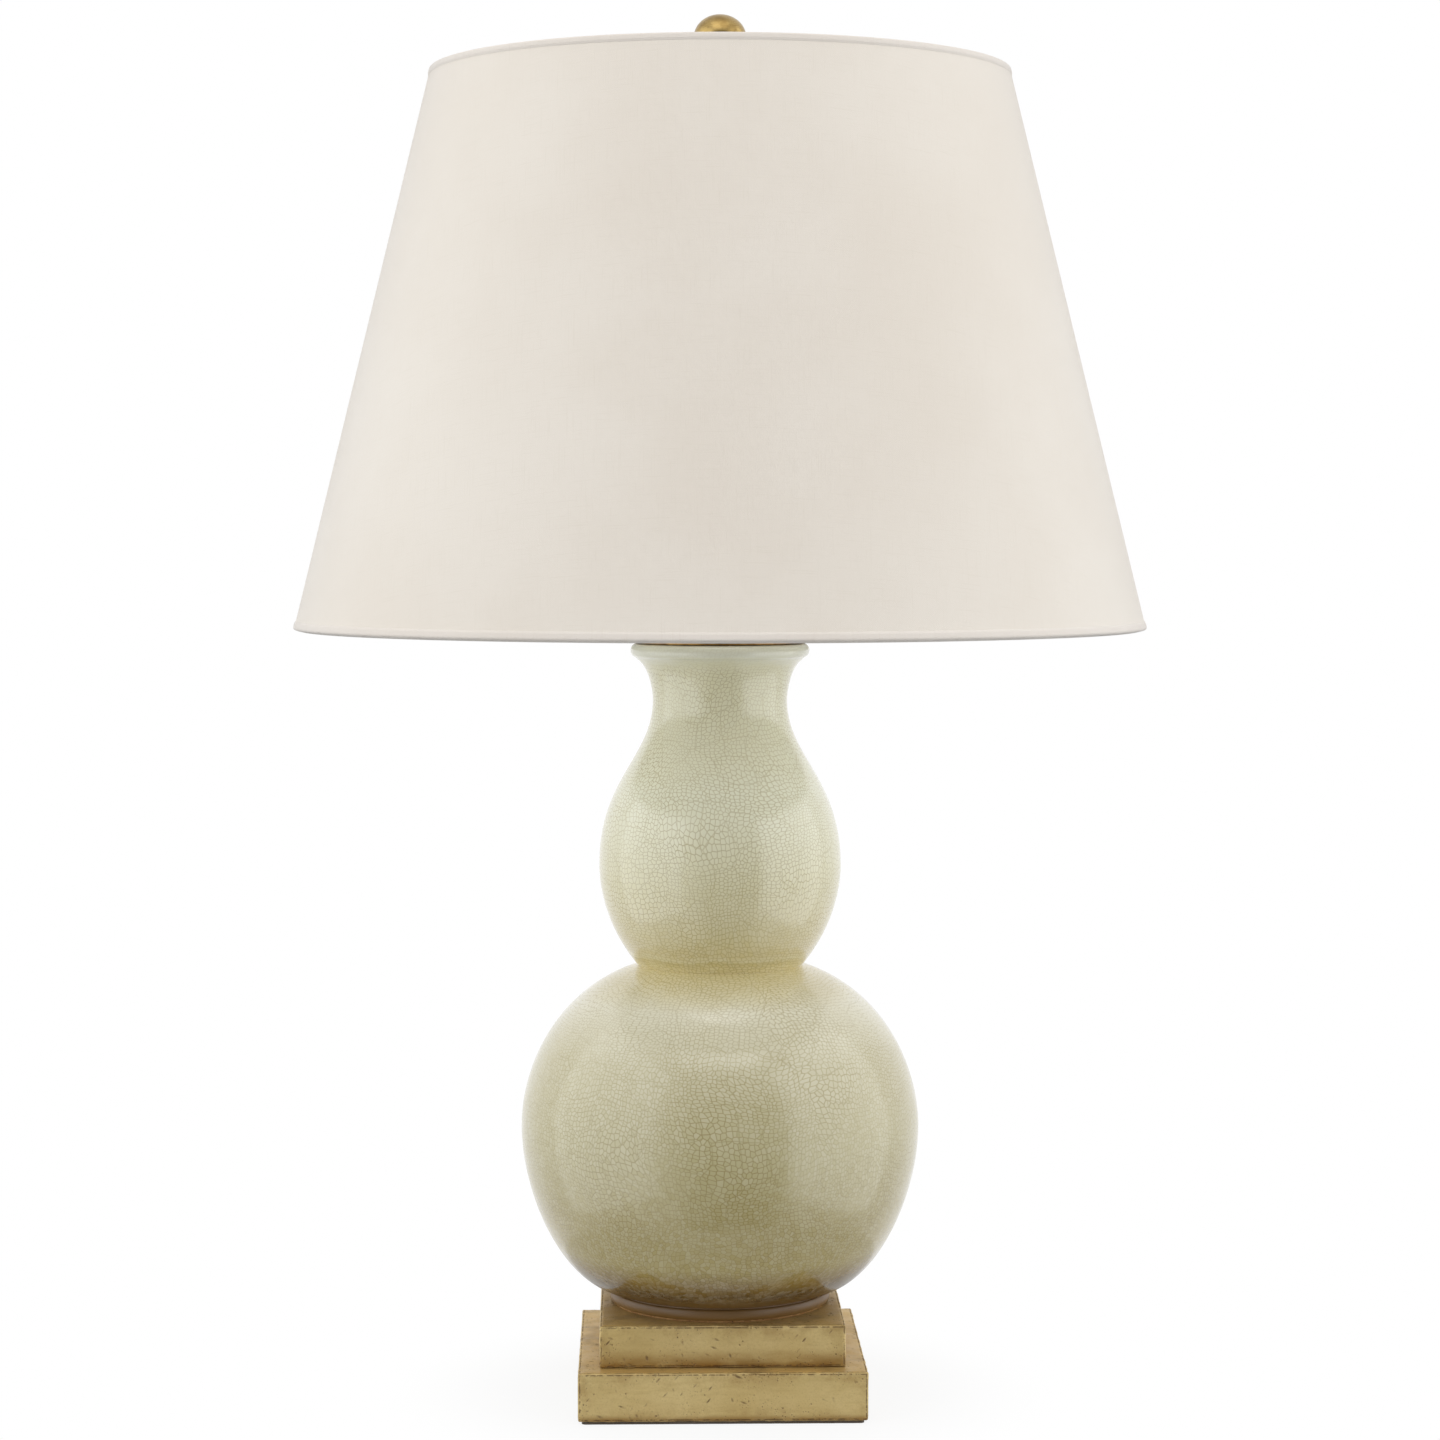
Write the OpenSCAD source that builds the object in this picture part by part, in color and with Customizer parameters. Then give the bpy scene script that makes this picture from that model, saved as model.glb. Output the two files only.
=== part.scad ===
// Table lamp with a two-lobed ceramic gourd on a stepped square plinth,
// a brass socket, a wire harp and a linen drum shade that flares downwards.
// The origin is on the table, under the middle of the lamp. Front is -Y.

/* [Plinth] */
// Side of the lower slab
lower_slab_w = 152.4; // [146:0.2:170]
// Height of the lower slab
lower_slab_h = 26; // [24:0.5:32]
// Side of the upper slab
upper_slab_w = 130; // [128:0.5:140]
// Height of the upper slab
upper_slab_h = 22.5; // [20:0.5:28]
// Width of the bevel on the edges of both slabs
slab_bevel = 0.9; // [0.4:0.1:2]
// Thickness of the felt under the plinth
felt_t = 1.5; // [1:0.1:3]
// Distance of the felt's edge from the edge of the lower slab
felt_inset = 2; // [1:0.5:6]
// Corner radius of the felt
felt_corner_r = 3; // [1:0.5:8]
// Radius of the wiring hollow under the lower slab
hollow_r = 30; // [26:1:36]
// Depth of the wiring hollow
hollow_h = 16; // [15:0.5:19]
// Diameter of the screws that join the slabs
slab_screw_d = 4; // [3:0.5:5]
// Diameter of their heads
slab_screw_head_d = 8; // [7:0.5:10]
// Length of these screws
slab_screw_len = 36; // [30:1:40]
// Distance of the screws from the edge of the upper slab
slab_screw_inset = 17; // [14:1:20]

/* [Cord bushing] */
// Bore of the bushing in the back of the lower slab
bushing_bore_d = 7; // [6:0.2:8]
// Wall of the bushing
bushing_wall = 1.5; // [1:0.1:2]
// Length of the bushing inside the slab
bushing_len = 14; // [10:1:20]
// Diameter of its outer flange
bushing_flange_d = 15; // [13:0.5:17]
// Thickness of its outer flange
bushing_flange_t = 2; // [1:0.5:3]
// Height of its axis above the felt
bushing_rise = 9; // [8.5:0.5:12]
// Diameter of the hole from the bushing to the wiring hollow
cord_channel_d = 9; // [8.4:0.2:9.6]

/* [Rod and base nut] */
// Outer diameter of the lamp pipe
rod_d = 9.7; // [9:0.1:10.3]
// Bore of the lamp pipe
rod_bore_d = 6.4; // [5:0.1:7]
// Length of pipe below the base nut
rod_tail = 2; // [1:0.5:3]
// Width of the hexagon nuts across flats
nut_flats = 14.3; // [13:0.1:16]
// Thickness of the base nut
base_nut_t = 4.6; // [3:0.2:6]
// Diameter of the lock washer
lock_washer_d = 17; // [15:0.5:19]
// Thickness of the lock washer
lock_washer_t = 1.2; // [0.8:0.1:1.5]
// Diameter of the wide washer
wide_washer_d = 32; // [26:1:44]
// Thickness of the wide washer
wide_washer_t = 2; // [1:0.5:3]

/* [Gourd] */
// Thickness of the cork ring under the foot
gasket_t = 0.8; // [0.4:0.1:2]
// Width of the cork ring
gasket_w = 6; // [4:0.5:8]
// Distance of the cork ring from the edge of the foot
gasket_inset = 1; // [0.5:0.1:2]
// Thickness of the ceramic wall
gourd_wall = 7; // [5:0.5:9]
// Radius of the foot ring at the table side
foot_r = 58.6; // [54:0.2:60]
// Swell of the foot ring past its bottom edge
foot_swell = 1; // [0.5:0.1:2]
// Height of the foot ring, up to the groove
foot_h = 6; // [4:0.5:9]
// Height of the groove above the foot ring
groove_h = 1.2; // [0.8:0.1:2]
// Width of the foot ring, out from the recess under the gourd
foot_ring_w = 11; // [8:0.5:14]
// Depth of the recess under the gourd
foot_recess_h = 5; // [3:0.5:6]
// Radius where the belly starts above the groove
belly_start_r = 60; // [58:0.5:64]
// Radius of the belly
belly_r = 107.5; // [95:0.5:115]
// Rise from the groove to the widest place of the belly
belly_rise = 88.3; // [80:0.1:100]
// Radius of the waist
waist_r = 44.5; // [38:0.5:50]
// Rise from the belly to the waist
waist_rise = 87; // [80:0.5:95]
// Radius of the upper lobe
lobe_r = 65.25; // [58:0.25:72]
// Rise from the waist to the widest place of the upper lobe
lobe_rise = 54; // [48:0.5:62]
// Radius of the neck
neck_r = 36.2; // [32:0.2:40]
// Rise from the upper lobe to the neck
neck_rise = 89.5; // [80:0.5:100]
// Radius under the lip
lip_r = 44.3; // [41:0.1:46]
// Rise from the neck to the underside of the lip
lip_rise = 21.5; // [18:0.5:26]
// Radius of the round bead of the lip
lip_bead_r = 3.9; // [3.6:0.1:4.6]

/* [Cap and neck] */
// Radius of the vase cap
cap_r = 46; // [45:0.5:48]
// Height of the upright rim of the vase cap
cap_rim_h = 5; // [4:0.5:7]
// Width of the rolled rim of the vase cap
cap_rim_w = 3.6; // [3:0.1:4.5]
// Height of the vase cap
cap_h = 13; // [11:0.5:18]
// Sheet thickness of the vase cap
cap_sheet = 1.2; // [0.8:0.1:2]
// Radius of the flat top of the vase cap
cap_top_r = 13.5; // [12:0.5:16]
// Diameter of the check ring
check_ring_d = 24; // [20:0.5:26]
// Thickness of the check ring
check_ring_t = 3; // [2:0.2:4]
// Height of the brass neck
brass_neck_h = 20.2; // [16:0.1:30]
// Diameter of the flanges of the brass neck
brass_neck_d = 20; // [19:0.5:23]
// Diameter of its waist
brass_neck_waist_d = 14; // [13:0.5:16]
// Thickness of its flanges
brass_neck_flange_t = 2.4; // [1.5:0.1:3]

/* [Harp] */
// Thickness of the saddle's strip
saddle_t = 2; // [1.5:0.1:2.5]
// Width of the saddle's strip
saddle_w = 11; // [9:0.5:13]
// Half length of the flat middle of the saddle
saddle_flat = 18; // [16:0.5:20]
// Rise of the saddle's arms to the ledges
saddle_rise = 12; // [8:0.5:16]
// Height of the posts that the sleeves hold
post_h = 11; // [9:0.5:12]
// Width of these posts
post_w = 4.4; // [3:0.1:4.4]
// Thickness of these posts
post_t = 1.9; // [1.4:0.1:1.9]
// Thickness of the nut on the saddle
saddle_nut_t = 3.5; // [2.5:0.5:5]
// Diameter of the harp wire
wire_d = 3.2; // [2.8:0.1:3.2]
// Distance of each straight leg from the middle
leg_x = 31.8; // [31:0.1:36]
// Height from the feet of the harp to the seat of the shade
harp_h = 241.3; // [228.6:0.1:266.7]
// Half width of the harp
harp_half_w = 55; // [50:0.5:60]
// Radius of the harp's upper bends
harp_bend_r = 42; // [34:0.5:44]
// Outward lean of the harp's sides, in degrees
harp_lean = 9; // [8.5:0.1:11]
// Radius of the bends above the legs
leg_bend_r = 60; // [30:1:80]
// Bore of the sleeves
sleeve_bore_d = 6.8; // [6.8:0.1:7.4]
// Wall of the sleeves
sleeve_wall = 0.8; // [0.6:0.1:1.2]
// Length of the sleeves
sleeve_len = 18; // [16:0.5:20]
// Diameter of the round eye at the top of the harp
eye_d = 15; // [13:0.5:18]
// Thickness of that eye
eye_t = 3.4; // [3.3:0.1:4]
// Diameter of the stud's rivet in the eye
rivet_d = 5; // [4:0.1:5.5]
// Diameter of the head under the eye
rivet_head_d = 8; // [7:0.2:10]
// Thickness of the head under the eye
rivet_head_t = 1.2; // [0.8:0.1:2]
// Diameter of the stud's flange
stud_flange_d = 17; // [15:0.5:19]
// Thickness of the stud's flange
stud_flange_t = 2.5; // [2:0.1:3]
// Diameter of the stud's thread
stud_d = 6.35; // [6:0.05:6.5]
// Length of the stud above its flange
stud_len = 14; // [12:0.5:15]

/* [Socket] */
// Outer diameter of the socket cap's neck
socket_neck_d = 17; // [15:0.5:18]
// Height of the socket cap's neck
socket_neck_h = 9; // [7:0.5:10]
// Height of the whole socket cap
socket_cap_h = 28; // [26:0.5:29]
// Diameter of the socket shell
shell_d = 33; // [32:0.2:35]
// Height of the shell's top above the saddle nut
shell_top = 62; // [60:0.5:66]
// Thickness of the brass sheet of shell and cap
shell_sheet = 0.55; // [0.4:0.05:0.8]
// Thickness of the paper liner
liner_t = 0.75; // [0.5:0.05:1]
// Bore of the screw shell
screw_shell_bore_d = 26.7; // [26.7:0.1:27.4]
// Sheet thickness of the screw shell
screw_shell_sheet = 0.5; // [0.3:0.05:0.7]
// Height of the screw shell
screw_shell_h = 20; // [18:0.5:21]
// Height of the top of the insulating body above the saddle nut
body_top = 40; // [39:0.5:41]
// Height of the wide part of the insulating body
body_wide_h = 13.5; // [12:0.5:14]
// Diameter of the narrow part of the insulating body
body_narrow_d = 19; // [16:0.5:20]
// Height of the centre contact above the body
contact_h = 2.5; // [1.5:0.1:3]
// Diameter of the centre contact
contact_d = 8; // [6:0.5:9]
// Height of the switch shaft below the top of the body
switch_drop = 7; // [6:0.5:8]
// Diameter of the switch shaft
shaft_d = 4.8; // [4:0.1:5]
// Reach of the switch shaft from the lamp's axis
shaft_reach = 27; // [25:0.5:32]
// Length of the switch knob
knob_len = 15; // [12:0.5:16]
// Width of the switch knob
knob_w = 12.8; // [10:0.2:15]
// Thickness of the switch knob's key
knob_t = 6.6; // [6.2:0.1:8]
// Reach of the switch knob from the lamp's axis
knob_reach = 34; // [32:0.5:36]
// Diameter of the small screws of the socket
small_screw_d = 3.2; // [2.5:0.1:3.5]

/* [Bulb] */
// Overall length of the bulb
bulb_len = 108; // [100:0.5:114]
// Diameter of the bulb's globe
bulb_d = 60; // [55:0.5:66]
// Thickness of the bulb's glass
glass_t = 0.8; // [0.6:0.1:1.2]
// Diameter of the bulb's metal cap
bulb_cap_d = 26.1; // [25.8:0.05:26.1]
// Length of the bulb's base, from its tip to the rim of the cap
bulb_base_len = 27; // [25:0.5:29]
// Sheet thickness of the bulb's metal cap
bulb_cap_sheet = 0.4; // [0.3:0.05:0.6]

/* [Shade] */
// Radius of the shade at its lower edge
shade_bottom_r = 228.6; // [200:0.2:240]
// Radius of the shade at its upper edge
shade_top_r = 155; // [130:0.5:170]
// Height of the shade
shade_h = 297; // [270:0.5:310]
// Drop from the top of the fitter's ring to the seat of its washer
spider_drop = 12.7; // [12:0.1:16]
// Thickness of the linen
linen_t = 0.6; // [0.4:0.05:1]
// Thickness of the stiff liner
stiffener_t = 0.5; // [0.3:0.05:1]
// Thickness of the folded edge trim
trim_t = 0.6; // [0.4:0.05:1]
// Height of the upper trim
top_trim_h = 4; // [4:0.1:6]
// Height of the lower trim
bottom_trim_h = 4.7; // [4.4:0.1:8]
// Diameter of the wire of the fitter and the top ring
fitter_wire_d = 2.6; // [2.4:0.1:2.8]
// Diameter of the wire of the fitter's arms
fitter_arm_d = 2.2; // [1.8:0.1:2.2]
// Diameter of the wire of the bottom ring
bottom_wire_d = 3; // [2.4:0.1:3.2]
// Radius of the bend in each arm of the fitter
arm_bend_r = 4; // [2:0.5:5]
// Number of arms of the fitter
arm_count = 3; // [3:1:4]
// Diameter of the fitter's washer
fitter_washer_d = 25; // [22:0.5:30]
// Thickness of the fitter's washer
fitter_washer_t = 2; // [1.5:0.1:3]
// Diameter of the hole in the fitter's washer
fitter_hole_d = 7; // [6.9:0.1:8]

/* [Finial] */
// Height of the finial above the washer
finial_h = 41.8; // [38:0.1:48]
// Radius of the finial's ball across
ball_r = 14; // [12:0.5:17]
// Half height of the finial's ball
ball_half_h = 12; // [10.5:0.5:13]
// Diameter of the finial's base
finial_base_d = 18; // [17:0.5:22]
// Thickness of the finial's base
finial_base_t = 2; // [1.5:0.1:3]
// Diameter of the tapped tube of the base
finial_tube_d = 9.2; // [8.6:0.1:9.6]
// Height of the tapped tube above the base
finial_tube_h = 11; // [9:0.5:12]
// Smallest diameter of the finial's stem
finial_stem_d = 13; // [12.6:0.2:15]

/* [Clearances] */
// Gap of a screwed, glued or seated joint
seat_gap = 0.1; // [0.05:0.01:0.15]
// Radial gap of a part that turns on another
run_gap = 0.06; // [0.03:0.01:0.1]
// Radial gap round a rod or screw that passes through
pass_gap = 0.4; // [0.2:0.05:0.6]

/* [Hidden] */
$fn = 96;

eps = 1;
wire_sides = 16;
rod_r = rod_d / 2;

// Heights of the stack, from the table up
lower_top = felt_t + lower_slab_h;
plinth_top = lower_top + upper_slab_h;
hollow_top = felt_t + hollow_h;
foot_z = plinth_top + gasket_t;
groove_z = foot_h + groove_h;
belly_z = groove_z + belly_rise;
waist_z = belly_z + waist_rise;
lobe_z = waist_z + lobe_rise;
neck_z = lobe_z + neck_rise;
lip_z = neck_z + lip_rise;
lip_bead_z = lip_z + lip_bead_r + 1;
cap_z = foot_z + lip_bead_z + lip_bead_r + seat_gap;
check_ring_z = cap_z + cap_h;
brass_neck_z = check_ring_z + check_ring_t;
saddle_z = brass_neck_z + brass_neck_h;
ledge_z = saddle_z + saddle_rise + saddle_t;
socket_z = saddle_z + saddle_t + saddle_nut_t;
seat_z = ledge_z + harp_h;
fitter_ring_z = seat_z + spider_drop - fitter_wire_d / 2;
shade_top_z = seat_z + spider_drop + trim_t + 3 * seat_gap;
shade_bottom_z = shade_top_z - shade_h;
finial_z = seat_z + fitter_washer_t;
bulb_z = socket_z + body_top + contact_h;

// Colours
gold = "#b7a370";
steel = "#a9a9a6";
brass = "#b08d4f";
dark = "#2b2723";
linen = "#e5e1db";

// Points and curves in a plane of radius and height
function polar(a, l) = [l * cos(a), l * sin(a)];
function bezier(a, b, c, d, steps) =
    [for (i = [0:steps]) let (t = i / steps, u = 1 - t)
        u * u * u * a + 3 * u * u * t * b + 3 * u * t * t * c + t * t * t * d];
function arc(centre, rx, rz, from, to, steps) =
    [for (i = [0:steps]) let (a = from + (to - from) * i / steps)
        centre + [rx * cos(a), rz * sin(a)]];
function tail(list) = [for (i = [1:len(list) - 1]) list[i]];
// Each point of a line moved to its left by d
function shifted(line, d) =
    [for (i = [0:len(line) - 1])
        let (step = line[min(i + 1, len(line) - 1)] - line[max(i - 1, 0)])
        line[i] + d / norm(step) * [-step[1], step[0]]];

module revolve(points) {
    rotate_extrude() polygon(points);
}

// Round wire bent in the XZ plane: a ring of points at each point of the path
module wire(path, r) {
    last = len(path) - 1;
    sides = [0:wire_sides - 1];
    rings = [for (i = [0:last])
        let (step = path[min(i + 1, last)] - path[max(i - 1, 0)],
             left = [-step[1], 0, step[0]] / norm(step))
        for (k = sides) let (a = 360 * k / wire_sides)
            [path[i][0], 0, path[i][1]] + r * cos(a) * left + [0, r * sin(a), 0]];
    function at(i, k) = i * wire_sides + k % wire_sides;
    polyhedron(rings, concat(
        [[for (k = sides) at(0, wire_sides - 1 - k)], [for (k = sides) at(last, k)]],
        [for (i = [0:last - 1], k = sides) [at(i, k), at(i, k + 1), at(i + 1, k + 1)]],
        [for (i = [0:last - 1], k = sides) [at(i, k), at(i + 1, k + 1), at(i + 1, k)]]
    ));
}

module ring_disc(outer_r, inner_r, h) {
    difference() {
        cylinder(r = outer_r, h = h);
        translate([0, 0, -eps]) cylinder(r = inner_r, h = h + 2 * eps);
    }
}

module hex_nut(t) {
    difference() {
        cylinder(r = nut_flats / 2 / cos(30), h = t, $fn = 6);
        translate([0, 0, -eps]) cylinder(r = rod_r + run_gap, h = t + 2 * eps);
    }
}

// The felt and the slabs of the plinth
module rounded_square(w, r) {
    square([w - 2 * r, w], center = true);
    square([w, w - 2 * r], center = true);
    for (x = [-1, 1], y = [-1, 1])
        translate([x, y] * (w / 2 - r)) circle(r);
}

module felt_pad() {
    color("#3a2f26")
        linear_extrude(felt_t) rounded_square(lower_slab_w - 2 * felt_inset, felt_corner_r);
}

module bevelled_slab(w, h) {
    b = 2 * slab_bevel;
    translate([0, 0, h / 2])
        hull() {
            cube([w, w - b, h - b], center = true);
            cube([w - b, w, h - b], center = true);
            cube([w - b, w - b, h], center = true);
        }
}

module at_slab_screws() {
    place = upper_slab_w / 2 - slab_screw_inset;
    for (x = [-1, 1], y = [-1, 1])
        translate([x * place, y * place, felt_t]) children();
}

// A countersunk screw, point up, grown all over by gap
module slab_screw(gap) {
    head_h = (slab_screw_head_d - slab_screw_d) / 2;
    shank_r = slab_screw_d / 2;
    point_h = 4;
    revolve([
        [0, -gap], [slab_screw_head_d / 2 + gap, -gap], [slab_screw_head_d / 2 + gap, 0.6],
        [shank_r + gap, 0.6 + head_h], [shank_r + gap, slab_screw_len - point_h],
        [0, slab_screw_len + gap]
    ]);
}

module bushing_channel(r) {
    translate([0, lower_slab_w / 2 + eps, felt_t + bushing_rise])
        rotate([90, 0, 0]) cylinder(r = r, h = bushing_len + eps);
}

module plinth_lower() {
    color(gold) difference() {
        translate([0, 0, felt_t]) bevelled_slab(lower_slab_w, lower_slab_h);
        translate([0, 0, felt_t - eps]) cylinder(r = hollow_r, h = hollow_h + eps);
        cylinder(r = rod_r + pass_gap, h = lower_top + eps);
        at_slab_screws() slab_screw(seat_gap);
        bushing_channel(bushing_bore_d / 2 + bushing_wall + seat_gap);
        translate([0, 0, felt_t + bushing_rise]) rotate([-90, 0, 0])
            cylinder(d = cord_channel_d, h = lower_slab_w / 2 - bushing_len + eps);
    }
}

module plinth_upper() {
    color(gold) difference() {
        translate([0, 0, lower_top]) bevelled_slab(upper_slab_w, upper_slab_h);
        translate([0, 0, lower_top - eps]) cylinder(r = rod_r + pass_gap, h = upper_slab_h + 2 * eps);
        at_slab_screws() slab_screw(seat_gap);
    }
}

module plinth_screws() {
    color(steel) at_slab_screws() difference() {
        slab_screw(0);
        for (a = [0, 90]) rotate([0, 0, a]) cube([slab_screw_head_d * 0.6, 1, 3], center = true);
    }
}

module cord_bushing() {
    outer_r = bushing_bore_d / 2 + bushing_wall;
    color(dark)
        translate([0, lower_slab_w / 2 - bushing_len, felt_t + bushing_rise]) rotate([-90, 0, 0])
            difference() {
                union() {
                    cylinder(r = outer_r, h = bushing_len + seat_gap);
                    translate([0, 0, bushing_len])
                        cylinder(r = bushing_flange_d / 2, h = bushing_flange_t);
                }
                translate([0, 0, -eps])
                    cylinder(r = bushing_bore_d / 2, h = bushing_len + bushing_flange_t + 2 * eps);
            }
}

// The lamp pipe and what clamps it in the hollow
base_washer_z = hollow_top - wide_washer_t;
lock_washer_z = base_washer_z - lock_washer_t;
base_nut_z = lock_washer_z - base_nut_t;
rod_bottom = base_nut_z - rod_tail;
rod_top = socket_z + socket_neck_h - 1;

module base_washer() {
    color(steel) translate([0, 0, base_washer_z])
        ring_disc(wide_washer_d / 2, rod_r + seat_gap, wide_washer_t);
}

module base_lock_washer() {
    split_w = 1.5;
    color(steel) translate([0, 0, lock_washer_z]) difference() {
        ring_disc(lock_washer_d / 2, rod_r + seat_gap, lock_washer_t);
        translate([0, -split_w / 2, -eps])
            cube([lock_washer_d, split_w, lock_washer_t + 2 * eps]);
    }
}

module base_nut() {
    color(steel) translate([0, 0, base_nut_z]) hex_nut(base_nut_t);
}

module threaded_rod() {
    color(steel) translate([0, 0, rod_bottom])
        ring_disc(rod_r, rod_bore_d / 2, rod_top - rod_bottom);
}

module foot_gasket() {
    outer_r = foot_r - gasket_inset;
    color("#8a6a48") translate([0, 0, plinth_top]) ring_disc(outer_r, outer_r - gasket_w, gasket_t);
}

// The gourd: a foot ring, two lobes with a sharp waist, a flared neck and a round lip.
// Each curve leaves and meets its stations along a handle whose length is a share of its rise.
module gourd_body() {
    start = [belly_start_r, groove_z];
    belly = [belly_r, belly_z];
    waist = [waist_r, waist_z];
    lobe = [lobe_r, lobe_z];
    neck = [neck_r, neck_z];
    lip = [lip_r, lip_z];
    up = [0, 1];
    steps = 14;
    groove_edge = 0.4;
    foot_hole_gap = 2;
    above = lip_bead_z + lip_bead_r + eps;
    lower_side = bezier(start, start + polar(10, 0.3 * belly_rise),
                        belly - 0.42 * belly_rise * up, belly, steps);
    shoulder = bezier(belly, belly + 0.35 * waist_rise * up,
                      waist - polar(163, 0.54 * waist_rise), waist, steps);
    upper_side = bezier(waist, waist + polar(50, 0.51 * lobe_rise),
                        lobe - 0.19 * lobe_rise * up, lobe, steps);
    throat = bezier(lobe, lobe + 0.53 * neck_rise * up, neck - 0.35 * neck_rise * up, neck, steps);
    flare = bezier(neck, neck + 0.23 * lip_rise * up, lip - polar(34, 0.33 * lip_rise), lip, steps / 2);
    outline = concat(lower_side, tail(shoulder), tail(upper_side), tail(throat), tail(flare));
    inside = shifted(outline, gourd_wall);
    mouth_r = inside[len(inside) - 1][0];
    color("#c3bd9c") translate([0, 0, foot_z]) difference() {
        union() {
            revolve(concat(
                [[0, 0], [foot_r, 0]],
                tail(arc([foot_r, foot_h / 2], foot_swell, foot_h / 2, -90, 90, 8)),
                [[foot_r, groove_z - groove_edge]],
                outline,
                [[lip_r, lip_bead_z], [0, lip_bead_z]]
            ));
            rotate_extrude() translate([lip_r, lip_bead_z]) circle(lip_bead_r);
        }
        revolve(concat([[0, inside[0][1]]], inside, [[mouth_r, above], [0, above]]));
        translate([0, 0, -eps]) cylinder(r = foot_r - foot_ring_w, h = foot_recess_h + eps);
        cylinder(r = rod_r + foot_hole_gap, h = groove_z + 2 * gourd_wall);
    }
}

// Spun brass over the mouth of the gourd, and the turned pieces above it
module vase_cap() {
    edge = 1.4;
    step_h = 0.8;
    rim_in = cap_r - cap_rim_w;
    dome_r = rim_in - step_h;
    dome_z = cap_rim_h + step_h;
    top_z = cap_h - step_h;
    dome = bezier([dome_r, dome_z], [dome_r * 0.66, dome_z],
                  [2 * cap_top_r, top_z], [cap_top_r, top_z], 16);
    color(brass) translate([0, 0, cap_z]) revolve(concat(
        arc([cap_r - edge, edge], edge, edge, -90, 0, 4),
        arc([cap_r - edge, cap_rim_h - edge], edge, edge, 0, 90, 4),
        [[rim_in, dome_z]],
        dome,
        [[cap_top_r, cap_h], [rod_r + seat_gap, cap_h], [rod_r + seat_gap, cap_h - cap_sheet - step_h]],
        [for (i = [len(dome) - 1:-1:0]) dome[i] - [0, cap_sheet]],
        [[dome_r, edge / 2], [rim_in, 0]]
    ));
}

module check_ring() {
    edge_r = check_ring_t / 2;
    color(brass) translate([0, 0, check_ring_z]) difference() {
        union() {
            cylinder(r = check_ring_d / 2 - edge_r, h = check_ring_t);
            rotate_extrude() translate([check_ring_d / 2 - edge_r, edge_r]) circle(edge_r, $fn = 32);
        }
        translate([0, 0, -eps]) cylinder(r = rod_r + seat_gap, h = check_ring_t + 2 * eps);
    }
}

module brass_neck() {
    flange_r = brass_neck_d / 2;
    waist_x = brass_neck_waist_d / 2;
    low = brass_neck_flange_t;
    high = brass_neck_h - brass_neck_flange_t;
    third = (high - low) / 3;
    middle = [waist_x, (low + high) / 2];
    edge = 0.5;
    color(brass) translate([0, 0, brass_neck_z]) revolve(concat(
        [[rod_r + seat_gap, 0], [flange_r - edge, 0], [flange_r, edge],
         [flange_r, low - edge], [flange_r - edge, low]],
        bezier([flange_r - 2 * edge, low], [waist_x, low + 2 * edge], middle - [0, third / 2], middle, 8),
        tail(bezier(middle, middle + [0, third / 2], [waist_x, high - 2 * edge],
                    [flange_r - 3 * edge, high], 8)),
        [[flange_r - 2 * edge, high], [flange_r - edge, high + edge],
         [flange_r - edge, brass_neck_h - edge], [flange_r - 2 * edge, brass_neck_h],
         [rod_r + seat_gap, brass_neck_h]]
    ));
}

// The saddle is a bent strip with a ledge and a post at each end
sleeve_x = leg_x - wire_d / 2;
sleeve_r = sleeve_bore_d / 2 + sleeve_wall;
post_gap = 0.3;
ledge_end = sleeve_x + sleeve_r + 0.8;
ledge_start = sleeve_x - sleeve_r + 0.2;

module harp_saddle() {
    slope = atan2(saddle_rise, ledge_start - saddle_flat);
    fold = saddle_t * tan(slope / 2);
    half = [
        [saddle_flat, 0], [ledge_start, saddle_rise], [ledge_end, saddle_rise],
        [ledge_end, saddle_rise + saddle_t], [ledge_start - fold, saddle_rise + saddle_t],
        [saddle_flat - fold, saddle_t]
    ];
    other = [for (i = [len(half) - 1:-1:0]) [-half[i][0], half[i][1]]];
    post_x = sleeve_x - post_t - post_gap;
    color(brass) translate([0, 0, saddle_z]) {
        difference() {
            intersection() {
                rotate([90, 0, 0])
                    linear_extrude(3 * saddle_w, center = true) polygon(concat(half, other));
                linear_extrude(saddle_rise + 2 * saddle_t) {
                    square([2 * ledge_end - saddle_w, saddle_w], center = true);
                    for (x = [-1, 1])
                        translate([x * (ledge_end - saddle_w / 2), 0]) circle(d = saddle_w);
                    circle(d = brass_neck_d);
                }
            }
            translate([0, 0, -eps]) cylinder(r = rod_r + seat_gap, h = saddle_t + 2 * eps);
        }
        for (x = [0, 1]) mirror([x, 0, 0])
            translate([post_x, -post_w / 2, saddle_rise + saddle_t / 2])
                cube([post_t, post_w, post_h + saddle_t / 2]);
    }
}

module saddle_nut() {
    color(brass) translate([0, 0, saddle_z + saddle_t]) hex_nut(saddle_nut_t);
}

// The socket: cap, set screw, shell, paper liner, insulating body, screw shell and contact
shell_r = shell_d / 2;
shell_bore_r = shell_r - shell_sheet;
shell_overlap = 7;
cap_bell_h = socket_cap_h - shell_overlap - 1;
set_screw_z = socket_neck_h / 2;
switch_z = body_top - switch_drop;
switch_window_d = shaft_d + 3;
slot_w = 0.8;
slot_h = 0.6;
screw_head_h = 1.4;

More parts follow.
